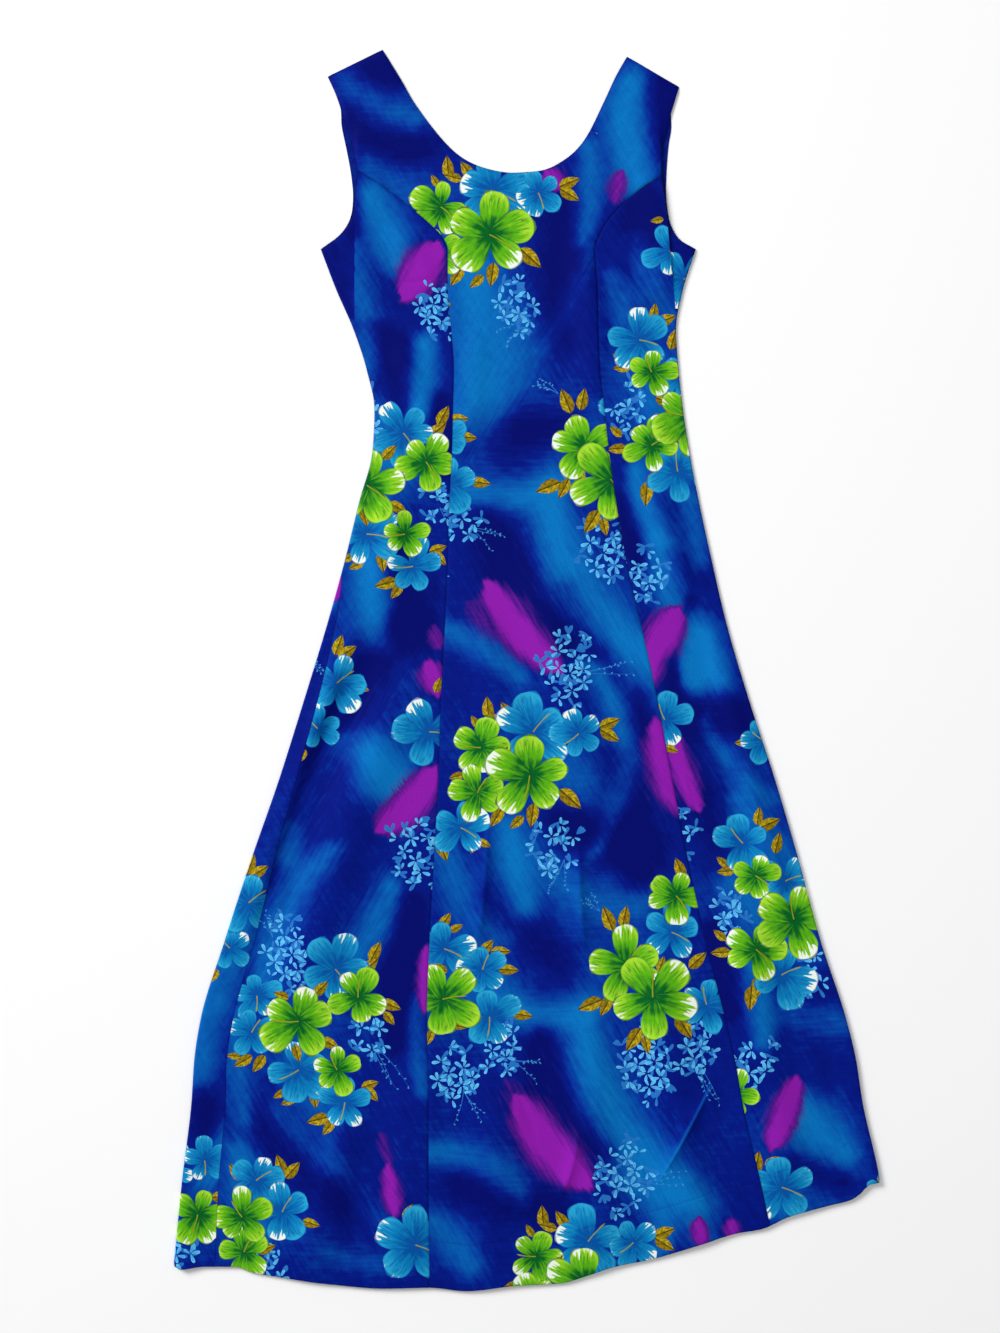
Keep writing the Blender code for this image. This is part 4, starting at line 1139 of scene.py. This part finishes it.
def fill(panel, outline, shapes):
    """Triangles over a panel that follow its outline, its guide lines and the shapes of its print."""
    points = [tuple(point) for point in outline]
    edges = closed_loop(0, len(outline))
    for shape in shapes:
        edges += closed_loop(len(points), len(shape.outline))
        points += [tuple(point) for point in shape.outline]
    thinned = Thinned()
    for point in points:
        thinned.keep(point)
    guides = []
    for line in guide_lines(panel):
        last = None
        for point, inside in zip(line, within(line, outline)):
            if not inside or thinned.near(point, GUIDES_APART):
                last = None
                continue
            guides.append(len(points))
            points.append(tuple(point))
            if last is not None:
                edges.append((last, len(points) - 1))
            last = len(points) - 1
    for guide in guides:
        thinned.keep(points[guide])
    loose = [(row, EDGE_ROWS_APART) for row in edge_rows(panel)]
    loose += [(row, CREASE_ROWS_APART) for row in crease_rows(panel)]
    loose.append((lattice(outline, panel.pitch), panel.pitch * LATTICE_APART))
    rows = np.concatenate([row for row, _apart in loose])
    aparts = np.concatenate([np.full(len(row), apart) for row, apart in loose])
    inside = within(rows, outline)
    for point, apart in zip(rows[inside], aparts[inside]):
        if not thinned.near(point, apart):
            points.append(tuple(point))
            thinned.keep(points[-1])
    filled = delaunay_2d_cdt([Vector(point) for point in points], edges, [], 0, SAME_POINT, False)
    flat = np.array([tuple(point) for point in filled[0]])
    triangles = np.array(filled[2])[:, ::-1]
    triangles = triangles[within(flat[triangles].mean(1), outline)]
    used, triangles = np.unique(triangles, return_inverse=True)
    return flat[used], triangles.reshape(-1, 3)


def uppermost(panel, shapes, centres):
    """The number of the uppermost shape over each face, or -1 on bare ground."""
    past_fold = np.zeros(len(centres), bool)
    if panel.name == "side_front_right":
        past_fold = (centres[:, 0] > right_fold(centres[:, 1])) & (centres[:, 1] < PLEATS[-1].down)
    top = np.full(len(centres), -1)
    for number, shape in enumerate(shapes):
        low, high = shape.outline.min(0), shape.outline.max(0)
        near = (centres >= low).all(1) & (centres <= high).all(1) & (past_fold == shape.past_fold)
        near = np.nonzero(near)[0]
        top[near[within(centres[near], shape.outline)]] = number
    return top


Painted = namedtuple("Painted", "azure magenta brush_across brush_down")
# A bouquet of more motifs than this has a halo of azure round it.
LOOSE_MOTIFS = 3
# How much azure a stroke of navy takes away.
NAVY_SHARE = 0.45
# A stroke's body is 1 at its middle and this at its ends. Magenta comes to a point, the blues stay broad.
LEAST_BODY = 0.02
MAGENTA_WIDTH = 1.25
MAGENTA_POINT = 0.45
MAGENTA_EDGE = 0.62
BLUE_ENDS = 0.7
BLUE_BODY = 0.3
BLUE_EDGE = 0.7
# Which way the ground is brushed where it has no stroke, and the least length of that pull.
PLAIN_BRUSH = (0.02, 0.05)
LEAST_PULL = 0.05
# Painted shade: past the fold of a bust pleat the lower layer lies in the fold's shade, and the ground
# there has less azure, down to here on each side front.
PLEAT_SHADE_ENDS = {"side_front_left": 310.0, "side_front_right": 300.0}
PLEAT_SHADE_AZURE = 0.4


def painted_ground(panel_name, points):
    """How much azure and magenta the ground has at points of the flat cloth, and which way it was brushed.

    The brush's way is the cosine and sine of twice its angle, so that both ways along a stroke are one.
    """
    azure = np.full(len(points), GROUND_AZURE)
    magenta = np.zeros(len(points))
    brush_across = np.full(len(points), PLAIN_BRUSH[0])
    brush_down = np.full(len(points), PLAIN_BRUSH[1])
    for placed in BOUQUETS[panel_name]:
        if len(placed.bouquet) > LOOSE_MOTIFS:
            away = np.hypot(points[:, 0] - placed.x, points[:, 1] - placed.down) / HALO_REACH
            azure += HALO * np.exp(-(away ** 2))
    for wash in WASHES[panel_name]:
        gone, aside = along_fold(wash, points[:, 0], points[:, 1])
        run = math.hypot(wash.x1 - wash.x0, wash.down1 - wash.down0)
        past = np.maximum(np.maximum(-gone, gone - 1), 0) * run
        body = np.clip(4 * gone * (1 - gone), LEAST_BODY, 1)
        if wash.tone == "magenta":
            away = np.hypot(aside, past) / (MAGENTA_WIDTH * wash.width * body ** MAGENTA_POINT)
            amount = wash.strength * np.exp(-(away ** 2) * MAGENTA_EDGE)
            magenta = np.maximum(magenta, amount)
        else:
            away = np.hypot(aside, past) / (wash.width * (BLUE_ENDS + BLUE_BODY * body))
            amount = wash.strength * np.exp(-(away ** 2) * BLUE_EDGE)
            azure += -amount * NAVY_SHARE if wash.tone == "navy" else amount * (1 - np.clip(azure, 0, 1))
        angle = 2 * math.atan2(wash.down1 - wash.down0, wash.x1 - wash.x0)
        brush_across += amount * math.cos(angle)
        brush_down += amount * math.sin(angle)
    length = np.maximum(np.hypot(brush_across, brush_down), LEAST_PULL)
    return Painted(np.clip(azure, 0, 1), np.clip(magenta, 0, 1), brush_across / length, brush_down / length)


def painted_pleat_shade_area(panel_name, points):
    """Which points of a side front lie past the fold of its bust pleat, where shade is painted by taking
    azure away.
    """
    if panel_name not in PLEAT_SHADE_ENDS:
        return np.zeros(len(points), bool)
    along, down = points[:, 0], points[:, 1]
    past = along < left_fold(down) if panel_name == "side_front_left" else along > right_fold(down)
    return past & (down < PLEAT_SHADE_ENDS[panel_name])


def sheet_mesh(panel):
    """The panel's printed sheet, in its laid place, as a mesh without thickness."""
    outline = tidy_outline(panel)
    shapes = panel_shapes(panel, outline)
    flat, triangles = fill(panel, outline, shapes)
    x, height = rolled(flat[:, 0], flat[:, 1])
    middle = np.stack([x, LAID_TOP / MM - flat[:, 1], height], 1)
    middle += facing(flat[:, 0], flat[:, 1]) * finish_lift(panel, flat)[:, None]
    mesh = bpy.data.meshes.new(panel.name + "_cloth")
    mesh.from_pydata((middle * MM).tolist(), [], triangles.tolist())
    top = uppermost(panel, shapes, flat[triangles].mean(1))
    kinds = np.zeros(len(triangles), np.int32)
    tips = np.zeros(len(triangles), np.float32)
    places = np.zeros((len(triangles), 3, 2), np.float32)
    for number, shape in enumerate(shapes):
        faces = np.nonzero(top == number)[0]
        kinds[faces] = KINDS.index(shape.kind)
        tips[faces] = shape.tip
        local = flat[triangles[faces]] - shape.origin
        places[faces, :, 0] = local @ shape.ahead / (shape.ahead @ shape.ahead)
        places[faces, :, 1] = local @ shape.across / (shape.across @ shape.across)
    mesh.polygons.foreach_set("material_index", kinds)
    mesh.attributes.new("tip", "FLOAT", "FACE").data.foreach_set("value", tips)
    painted = painted_ground(panel.name, flat)
    # Painted shade past the bust pleats' folds: the ground there loses azure.
    painted.azure[painted_pleat_shade_area(panel.name, flat)] *= PLEAT_SHADE_AZURE
    # The shade attribute is painted shade along seams and sewn edges.
    amounts = {**painted._asdict(), "shade": painted_edge_shade(panel, flat)}
    for name, amount in amounts.items():
        mesh.attributes.new(name, "FLOAT", "POINT").data.foreach_set("value", amount.astype(np.float32))
    cloth_map = mesh.uv_layers.new(name="cloth")
    cloth_map.data.foreach_set("uv", (flat[triangles] * MM).astype(np.float32).ravel())
    motif_map = mesh.uv_layers.new(name="motif")
    motif_map.data.foreach_set("uv", places.ravel())
    return mesh


def add(tree, kind, values=None, **settings):
    """A new node with its settings, and its inputs linked to sockets or set to values."""
    made = tree.nodes.new(kind)
    for name, value in settings.items():
        setattr(made, name, value)
    for key, value in (values or {}).items():
        if isinstance(value, bpy.types.NodeSocket):
            tree.links.new(value, made.inputs[key])
        else:
            made.inputs[key].default_value = value
    return made


def maths(tree, operation, first, second=0.0, third=0.0):
    """The result of a Math node."""
    return add(tree, "ShaderNodeMath", {0: first, 1: second, 2: third}, operation=operation).outputs[0]


def times(tree, first, second):
    """The product of two values."""
    return maths(tree, "MULTIPLY", first, second)


def times_plus(tree, first, second, third):
    """The product of two values and a third value more."""
    return maths(tree, "MULTIPLY_ADD", first, second, third)


def plus(tree, first, second):
    """The sum of two values."""
    return maths(tree, "ADD", first, second)


def minus(tree, first, second):
    """The first value less the second."""
    return maths(tree, "SUBTRACT", first, second)


def mixed(tree, share, first, second):
    """The colour between two, by a share."""
    made = add(tree, "ShaderNodeMix", {0: share, 6: first, 7: second}, data_type="RGBA")
    return made.outputs[2]


def tinted(tree, colour, tint, amount, strength):
    """A colour moved towards a tint by an amount times a strength."""
    return mixed(tree, times(tree, amount, strength), colour, tint)


def smooth_step(tree, value, low, high):
    """0 below low, 1 above high, and smooth between."""
    values = {"Value": value, "From Min": low, "From Max": high}
    return add(tree, "ShaderNodeMapRange", values, interpolation_type="SMOOTHSTEP").outputs["Result"]


def noise(tree, place, scale, detail=2.0):
    """Soft noise from 0 to 1."""
    values = {"Vector": place, "Scale": scale, "Detail": detail}
    return add(tree, "ShaderNodeTexNoise", values).outputs["Fac"]


def swing(tree, place, scale, detail=2.0):
    """Soft noise from about -0.5 to 0.5."""
    return minus(tree, noise(tree, place, scale, detail), 0.5)


def motif_place(tree):
    """How far along and how far aside a place lies in its own petal or leaf."""
    place = add(tree, "ShaderNodeUVMap", uv_map="motif").outputs[0]
    axes = add(tree, "ShaderNodeSeparateXYZ", {0: place}).outputs
    return axes[0], axes[1]


def new_group(name, inputs, outputs):
    """An empty shader group with named sockets, and its input and output nodes."""
    group = bpy.data.node_groups.new(name, "ShaderNodeTree")
    for socket, kind in inputs:
        group.interface.new_socket(name=socket, in_out="INPUT", socket_type=kind)
    for socket, kind in outputs:
        group.interface.new_socket(name=socket, in_out="OUTPUT", socket_type=kind)
    return group, group.nodes.new("NodeGroupInput").outputs, group.nodes.new("NodeGroupOutput").inputs


FLOAT, COLOUR, VECTOR = "NodeSocketFloat", "NodeSocketColor", "NodeSocketVector"


def scaled_place(tree, layer, scale, turn=0.0):
    """A piece's own map, turned and scaled."""
    uv = add(tree, "ShaderNodeUVMap", uv_map=layer).outputs[0]
    values = {"Vector": uv, "Scale": (1 / scale[0], 1 / scale[1], 1.0), "Rotation": (0.0, 0.0, turn)}
    return add(tree, "ShaderNodeMapping", values, vector_type="TEXTURE").outputs[0]


def woven_group():
    """Plain weave of fine cotton: two sets of threads, a little uneven, with specks of colour."""
    group, _inputs, outputs = new_group("woven cotton", [], [("Speck", FLOAT), ("Normal", VECTOR)])
    place = add(group, "ShaderNodeUVMap", uv_map="cloth").outputs[0]
    threads = []
    for axis in ("X", "Y"):
        wave = add(group, "ShaderNodeTexWave", {
            "Vector": place, "Scale": 340.0, "Distortion": 1.5, "Detail": 1.0, "Detail Scale": 0.4,
        }, bands_direction=axis)
        threads.append(wave.outputs["Fac"])
    weave = times(group, threads[0], threads[1])
    slubs = noise(group, scaled_place(group, "cloth", (260.0, 700.0)), 1.0, 3.0)
    height = times_plus(group, slubs, 0.9, weave)
    bump = add(group, "ShaderNodeBump", {"Height": height, "Strength": 0.28, "Distance": 0.00016})
    group.links.new(bump.outputs[0], outputs["Normal"])
    speck = noise(group, place, 950.0, 1.0)
    group.links.new(speck, outputs["Speck"])
    return group


Tone = namedtuple("Tone", "amount colour")
# The ground's colours by how much azure it has, from navy to azure.
GROUND_TONES = [
    Tone(0.06, (0.0006, 0.0030, 0.132)),
    Tone(0.30, (0.0006, 0.0090, 0.215)),
    Tone(0.46, (0.0006, 0.0340, 0.305)),
    Tone(0.64, (0.0008, 0.0800, 0.370)),
    Tone(0.95, (0.0015, 0.1600, 0.480)),
]
VIOLET = (0.055, 0.006, 0.205, 1.0)
PURPLE = (0.245, 0.010, 0.370, 1.0)
WHITE_TIP = (0.80, 0.86, 0.78, 1.0)
LEAF_OLIVE = (0.190, 0.115, 0.003, 1.0)
LEAF_GOLD = (0.540, 0.400, 0.012, 1.0)
LEAF_SHADED_HALF = (0.130, 0.075, 0.002, 1.0)
LEAF_VEIN = (0.030, 0.020, 0.004, 1.0)
FLORET_DEEP = (0.006, 0.110, 0.470, 1.0)
FLORET_LIGHT = (0.075, 0.400, 0.740, 1.0)
FLORET_RIM = (0.130, 0.570, 0.870, 1.0)
FLORET_DIM = (0.004, 0.100, 0.440, 1.0)
STAMEN_OLIVE = (0.180, 0.170, 0.004, 1.0)
STAMEN_GOLD = (0.420, 0.400, 0.020, 1.0)
# The dark navy that the wrong side is mixed towards, as painted shade for the inner side, which lies in
# shade.
WRONG_SIDE_PAINTED_SHADE = (0.001, 0.006, 0.120, 1.0)


def brush_streaks(tree, across, down):
    """Fine streaks, from about -0.5 to 0.5, that run the way the ground was brushed."""
    total, weights = 0.0, 0.0
    for angle in (0.0, math.radians(60), math.radians(120)):
        lined_up = times(tree, across, math.cos(2 * angle))
        lined_up = times_plus(tree, down, math.sin(2 * angle), lined_up)
        weight = maths(tree, "MAXIMUM", plus(tree, lined_up, 0.5), 0.02)
        streak = swing(tree, scaled_place(tree, "cloth", (30.0, 240.0), angle), 1.0, 4.0)
        total = times_plus(tree, streak, weight, total)
        weights = plus(tree, weights, weight)
    return maths(tree, "DIVIDE", total, weights)


def ground_group():
    """Brushed ground: navy to royal to azure by amount, with magenta strokes and dry brush marks."""
    values = [(name, FLOAT) for name in ("Azure", "Magenta", "Across", "Down", "Speck")]
    group, inputs, outputs = new_group("brushed ground", values, [("Colour", COLOUR)])
    streaks = brush_streaks(group, inputs["Across"], inputs["Down"])
    clouds = swing(group, scaled_place(group, "cloth", (16.0, 9.0), math.radians(-18)), 1.0, 3.0)
    wander = times_plus(group, clouds, 0.42, inputs["Azure"])
    mottle = swing(group, scaled_place(group, "cloth", (90.0, 90.0)), 1.0, 3.0)
    wander = times_plus(group, mottle, 0.22, wander)
    brushed = times_plus(group, streaks, 0.45, wander)
    ramp = add(group, "ShaderNodeValToRGB", {"Fac": brushed})
    elements = ramp.color_ramp.elements
    elements[0].position, elements[1].position = GROUND_TONES[0].amount, GROUND_TONES[-1].amount
    elements[0].color, elements[1].color = (*GROUND_TONES[0].colour, 1), (*GROUND_TONES[-1].colour, 1)
    for tone in GROUND_TONES[1:-1]:
        elements.new(tone.amount).color = (*tone.colour, 1)
    edge = times_plus(group, streaks, 0.9, inputs["Magenta"])
    violet = mixed(group, smooth_step(group, edge, 0.12, 0.48), ramp.outputs[0], VIOLET)
    purple = mixed(group, smooth_step(group, edge, 0.32, 0.84), violet, PURPLE)
    grain = times_plus(group, minus(group, inputs["Speck"], 0.5), 0.9, 1.0)
    shaded = add(group, "ShaderNodeVectorMath", {0: purple, 3: grain}, operation="SCALE").outputs[0]
    group.links.new(shaded, outputs["Colour"])
    return group


def petal_group():
    """A painted petal: deep at its base, lighter outwards, streaked, with a dark outline and white tip."""
    colours = [(name, COLOUR) for name in ("Deep", "Middle", "Light", "Ink")]
    group, inputs, outputs = new_group("painted petal", colours + [("Tip", FLOAT)], [("Colour", COLOUR)])
    along, aside = motif_place(group)
    spread = maths(group, "DIVIDE", aside, plus(group, along, 0.25))
    broad = ray_noise(group, spread, along, 3.4, 0.9)
    fine = ray_noise(group, spread, along, 12.0, 2.0)
    wander = times_plus(group, broad, 0.9, times(group, fine, 0.5))
    blotch = swing(group, scaled_place(group, "cloth", (60.0, 60.0)), 1.0)
    shift = times_plus(group, blotch, 0.8, times(group, aside, 0.13))
    depth = plus(group, times_plus(group, wander, 1.3, along), shift)
    colour = mixed(group, smooth_step(group, depth, 0.14, 0.58), inputs["Deep"], inputs["Middle"])
    colour = mixed(group, smooth_step(group, depth, 0.56, 1.08), colour, inputs["Light"])
    rim = petal_rim(group, along, aside)
    outer = smooth_step(group, along, 0.35, 0.75)
    glow = times(group, smooth_step(group, rim, 0.74, 0.88), outer)
    colour = tinted(group, colour, inputs["Light"], glow, 0.6)
    lights = times(group, smooth_step(group, fine, -0.05, -0.14), outer)
    colour = tinted(group, colour, inputs["Light"], lights, 0.6)
    veins = times(group, smooth_step(group, fine, 0.05, 0.12), smooth_step(group, rim, 1.0, 0.6))
    colour = tinted(group, colour, inputs["Deep"], veins, 0.65)
    start = times_plus(group, inputs["Tip"], -0.40, 1.20)
    white = minus(group, times_plus(group, wander, 1.5, along), start)
    has_tip = smooth_step(group, inputs["Tip"], 0.1, 0.3)
    white = times(group, smooth_step(group, white, 0.0, 0.07), has_tip)
    colour = mixed(group, white, colour, WHITE_TIP)
    colour = tinted(group, colour, inputs["Ink"], smooth_step(group, rim, 0.92, 1.0), 0.8)
    group.links.new(colour, outputs["Colour"])
    return group


def ray_noise(tree, spread, along, across_scale, along_scale):
    """Noise from about -0.3 to 0.3 in rays that fan out from a petal's base."""
    rays = add(tree, "ShaderNodeCombineXYZ", {
        0: times(tree, spread, across_scale), 1: times(tree, along, along_scale),
    }).outputs[0]
    return swing(tree, rays, 1.0)


def petal_rim(tree, along, aside):
    """How near a place in a petal is to its outline: 0 at its middle and 1 at its edge."""
    turn = maths(tree, "DIVIDE", minus(tree, along, PETAL_MIDDLE), PETAL_HALF)
    broad = maths(tree, "MAXIMUM", times_plus(tree, turn, PETAL_TAPER, 1 - PETAL_TAPER), 0.1)
    side = maths(tree, "DIVIDE", aside, broad)
    square = times_plus(tree, side, side, times(tree, turn, turn))
    return maths(tree, "SQRT", square)


def leaf_group():
    """An olive gold leaf with a dark middle vein and slanting side veins."""
    group, _inputs, outputs = new_group("veined leaf", [], [("Colour", COLOUR)])
    along, half = motif_place(group)
    aside = maths(group, "ABSOLUTE", half)
    mottle = noise(group, scaled_place(group, "motif", (5.0, 2.5)), 1.0, 2.0)
    colour = mixed(group, smooth_step(group, mottle, 0.3, 0.7), LEAF_OLIVE, LEAF_GOLD)
    colour = tinted(group, colour, LEAF_SHADED_HALF, smooth_step(group, half, -0.1, 0.1), 0.45)
    slant = minus(group, times(group, along, 6.5), times(group, aside, 1.5))
    side = maths(group, "ABSOLUTE", minus(group, maths(group, "FRACT", slant), 0.5))
    veins = times(group, smooth_step(group, side, 0.36, 0.47), 0.65)
    middle = smooth_step(group, aside, 0.16, 0.05)
    bound = smooth_step(group, plus(group, aside, times(group, along, 0.12)), 0.86, 1.0)
    dark = maths(group, "MAXIMUM", maths(group, "MAXIMUM", veins, middle), bound)
    colour = tinted(group, colour, LEAF_VEIN, dark, 0.85)
    group.links.new(colour, outputs["Colour"])
    return group


def floret_group():
    """A small floret's petal: light blue, paler towards its rim, some dimmer than others."""
    group, inputs, outputs = new_group("floret petal", [("Tip", FLOAT)], [("Colour", COLOUR)])
    along, aside = motif_place(group)
    rim = petal_rim(group, along, aside)
    colour = mixed(group, smooth_step(group, along, 0.05, 0.45), FLORET_DEEP, FLORET_LIGHT)
    colour = tinted(group, colour, FLORET_RIM, smooth_step(group, rim, 0.35, 0.75), 0.8)
    colour = tinted(group, colour, FLORET_DIM, smooth_step(group, inputs["Tip"], 0.0, 1.0), 0.85)
    group.links.new(colour, outputs["Colour"])
    return group


def use(tree, group, values=None):
    """A group placed in a material."""
    return add(tree, "ShaderNodeGroup", values, node_tree=group).outputs


def attribute(tree, name):
    """A value that the sheet's own points or faces carry."""
    return add(tree, "ShaderNodeAttribute", attribute_name=name).outputs["Fac"]


def cotton(name, groups, paint):
    """A cotton material: the weave and sheen are the same for every colour of the print."""
    material = bpy.data.materials.new(name)
    material.use_nodes = True
    tree = material.node_tree
    shader = tree.nodes["Principled BSDF"]
    weave = use(tree, groups["woven"])
    # Painted shade: the shade attribute darkens the colour along seams and sewn edges.
    light = times_plus(tree, attribute(tree, "shade"), -0.75, 1.0)
    painted = paint(tree, weave["Speck"])
    colour = add(tree, "ShaderNodeVectorMath", {0: painted, 3: light}, operation="SCALE")
    tree.links.new(colour.outputs[0], shader.inputs["Base Color"])
    tree.links.new(weave["Normal"], shader.inputs["Normal"])
    shader.inputs["Roughness"].default_value = 0.60
    shader.inputs["Specular IOR Level"].default_value = 0.03
    shader.inputs["Sheen Weight"].default_value = 0.03
    shader.inputs["Sheen Roughness"].default_value = 0.40
    shader.inputs["Sheen Tint"].default_value = (0.25, 0.50, 1.0, 1.0)
    return material


def print_materials():
    """The materials of the print, in the order of its kinds, and the cloth's wrong side, darkened with
    painted shade.
    """
    groups = {
        "woven": woven_group(), "ground": ground_group(), "petal": petal_group(), "leaf": leaf_group(),
        "floret": floret_group(),
    }

    def ground(tree, speck):
        values = {"Azure": attribute(tree, "azure"), "Magenta": attribute(tree, "magenta"), "Speck": speck,
                  "Across": attribute(tree, "brush_across"), "Down": attribute(tree, "brush_down")}
        return use(tree, groups["ground"], values)["Colour"]

    def petal_of(deep, middle, light, ink):
        def paint(tree, _speck):
            values = {"Deep": deep, "Middle": middle, "Light": light, "Ink": ink}
            return use(tree, groups["petal"], {**values, "Tip": attribute(tree, "tip")})["Colour"]
        return paint

    green = petal_of((0.001, 0.110, 0.014, 1), (0.090, 0.400, 0.007, 1), (0.360, 0.680, 0.030, 1),
                     (0.002, 0.045, 0.030, 1))
    blue = petal_of((0.001, 0.078, 0.330, 1), (0.002, 0.185, 0.450, 1), (0.020, 0.350, 0.600, 1),
                    (0.002, 0.070, 0.330, 1))

    def leaf_paint(tree, _speck):
        return use(tree, groups["leaf"])["Colour"]

    def floret_paint(tree, _speck):
        return use(tree, groups["floret"], {"Tip": attribute(tree, "tip")})["Colour"]

    def stamen_paint(tree, speck):
        return mixed(tree, speck, STAMEN_OLIVE, STAMEN_GOLD)

    # The wrong side is the print darkened towards dark navy: painted shade.
    def wrong_side_with_painted_shade(tree, speck):
        return mixed(tree, 0.35, ground(tree, speck), WRONG_SIDE_PAINTED_SHADE)

    paints = [("printed ground", ground), ("green petals", green), ("blue petals", blue),
              ("gold leaves", leaf_paint), ("florets", floret_paint), ("stamens", stamen_paint),
              ("wrong side", wrong_side_with_painted_shade)]
    return [cotton(name, groups, paint) for name, paint in paints]


def printed_panel(panel, materials):
    """One panel as a thin shell of printed cotton that stands for its solid."""
    mesh = sheet_mesh(panel)
    for material in materials:
        mesh.materials.append(material)
    piece = bpy.data.objects.new("cloth_" + panel.name, mesh)
    bpy.context.scene.collection.objects.link(piece)
    piece.select_set(True)
    bpy.context.view_layer.objects.active = piece
    thickness = piece.modifiers.new("thickness", "SOLIDIFY")
    thickness.thickness = CLOTH * MM
    thickness.offset = 0.0
    thickness.material_offset = len(materials)
    bpy.ops.object.modifier_apply(modifier="thickness")
    bpy.ops.object.shade_smooth_by_angle(angle=math.radians(50))
    piece.select_set(False)
    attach(piece, "root")
    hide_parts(panel.name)


def pale_floor():
    """A plain pale floor under the dress."""
    bpy.ops.mesh.primitive_plane_add(size=8.0, location=(0.0, 0.0, 0.0))
    floor = bpy.context.active_object
    floor.name = "floor"
    material = bpy.data.materials.new("pale floor")
    material.use_nodes = True
    shader = material.node_tree.nodes["Principled BSDF"]
    shader.inputs["Base Color"].default_value = (0.90, 0.90, 0.905, 1.0)
    shader.inputs["Roughness"].default_value = 0.9
    shader.inputs["Specular IOR Level"].default_value = 0.1
    floor.data.materials.append(material)
    floor.select_set(False)


# The photograph's frame: its middle on the floor, its height, and how high the camera is, all in metres.
FRAME_MIDDLE = (-0.031, 0.004)
FRAME_HEIGHT = 1.533
CAMERA_HEIGHT = 2.6
# The width of the camera's sensor, in millimetres.
SENSOR = 36.0


def photo_camera():
    """A camera straight above the dress, with the photograph's framing."""
    data = bpy.data.cameras.new("camera")
    data.sensor_width = SENSOR
    data.lens = SENSOR * CAMERA_HEIGHT / FRAME_HEIGHT
    camera = bpy.data.objects.new("camera", data)
    camera.location = (*FRAME_MIDDLE, CAMERA_HEIGHT)
    bpy.context.scene.collection.objects.link(camera)
    bpy.context.scene.camera = camera


def soft_light(name, place, size, power):
    """A large soft lamp that points at the middle of the dress."""
    data = bpy.data.lights.new(name, "AREA")
    data.shape = "SQUARE"
    data.size = size
    data.energy = power
    lamp = bpy.data.objects.new(name, data)
    lamp.location = place
    lamp.rotation_euler = (-Vector(place)).to_track_quat("-Z", "Y").to_euler()
    bpy.context.scene.collection.objects.link(lamp)


def soft_studio():
    """Soft light from above and one side, and a pale surrounding."""
    soft_light("key", (-5.2, 4.0, 4.8), 3.4, 680.0)
    soft_light("overhead", (0.4, 0.0, 3.2), 2.6, 30.0)
    world = bpy.data.worlds.new("studio")
    world.use_nodes = True
    background = world.node_tree.nodes["Background"]
    background.inputs["Color"].default_value = (1.0, 1.0, 1.0, 1.0)
    background.inputs["Strength"].default_value = 0.28
    bpy.context.scene.world = world
    bpy.context.scene.view_settings.view_transform = "Standard"


photo_camera()
pale_floor()
soft_studio()
cotton_prints = print_materials()
for make in (front_centre, side_front_left, side_front_right, back_left, back_right):
    printed_panel(make(), cotton_prints)
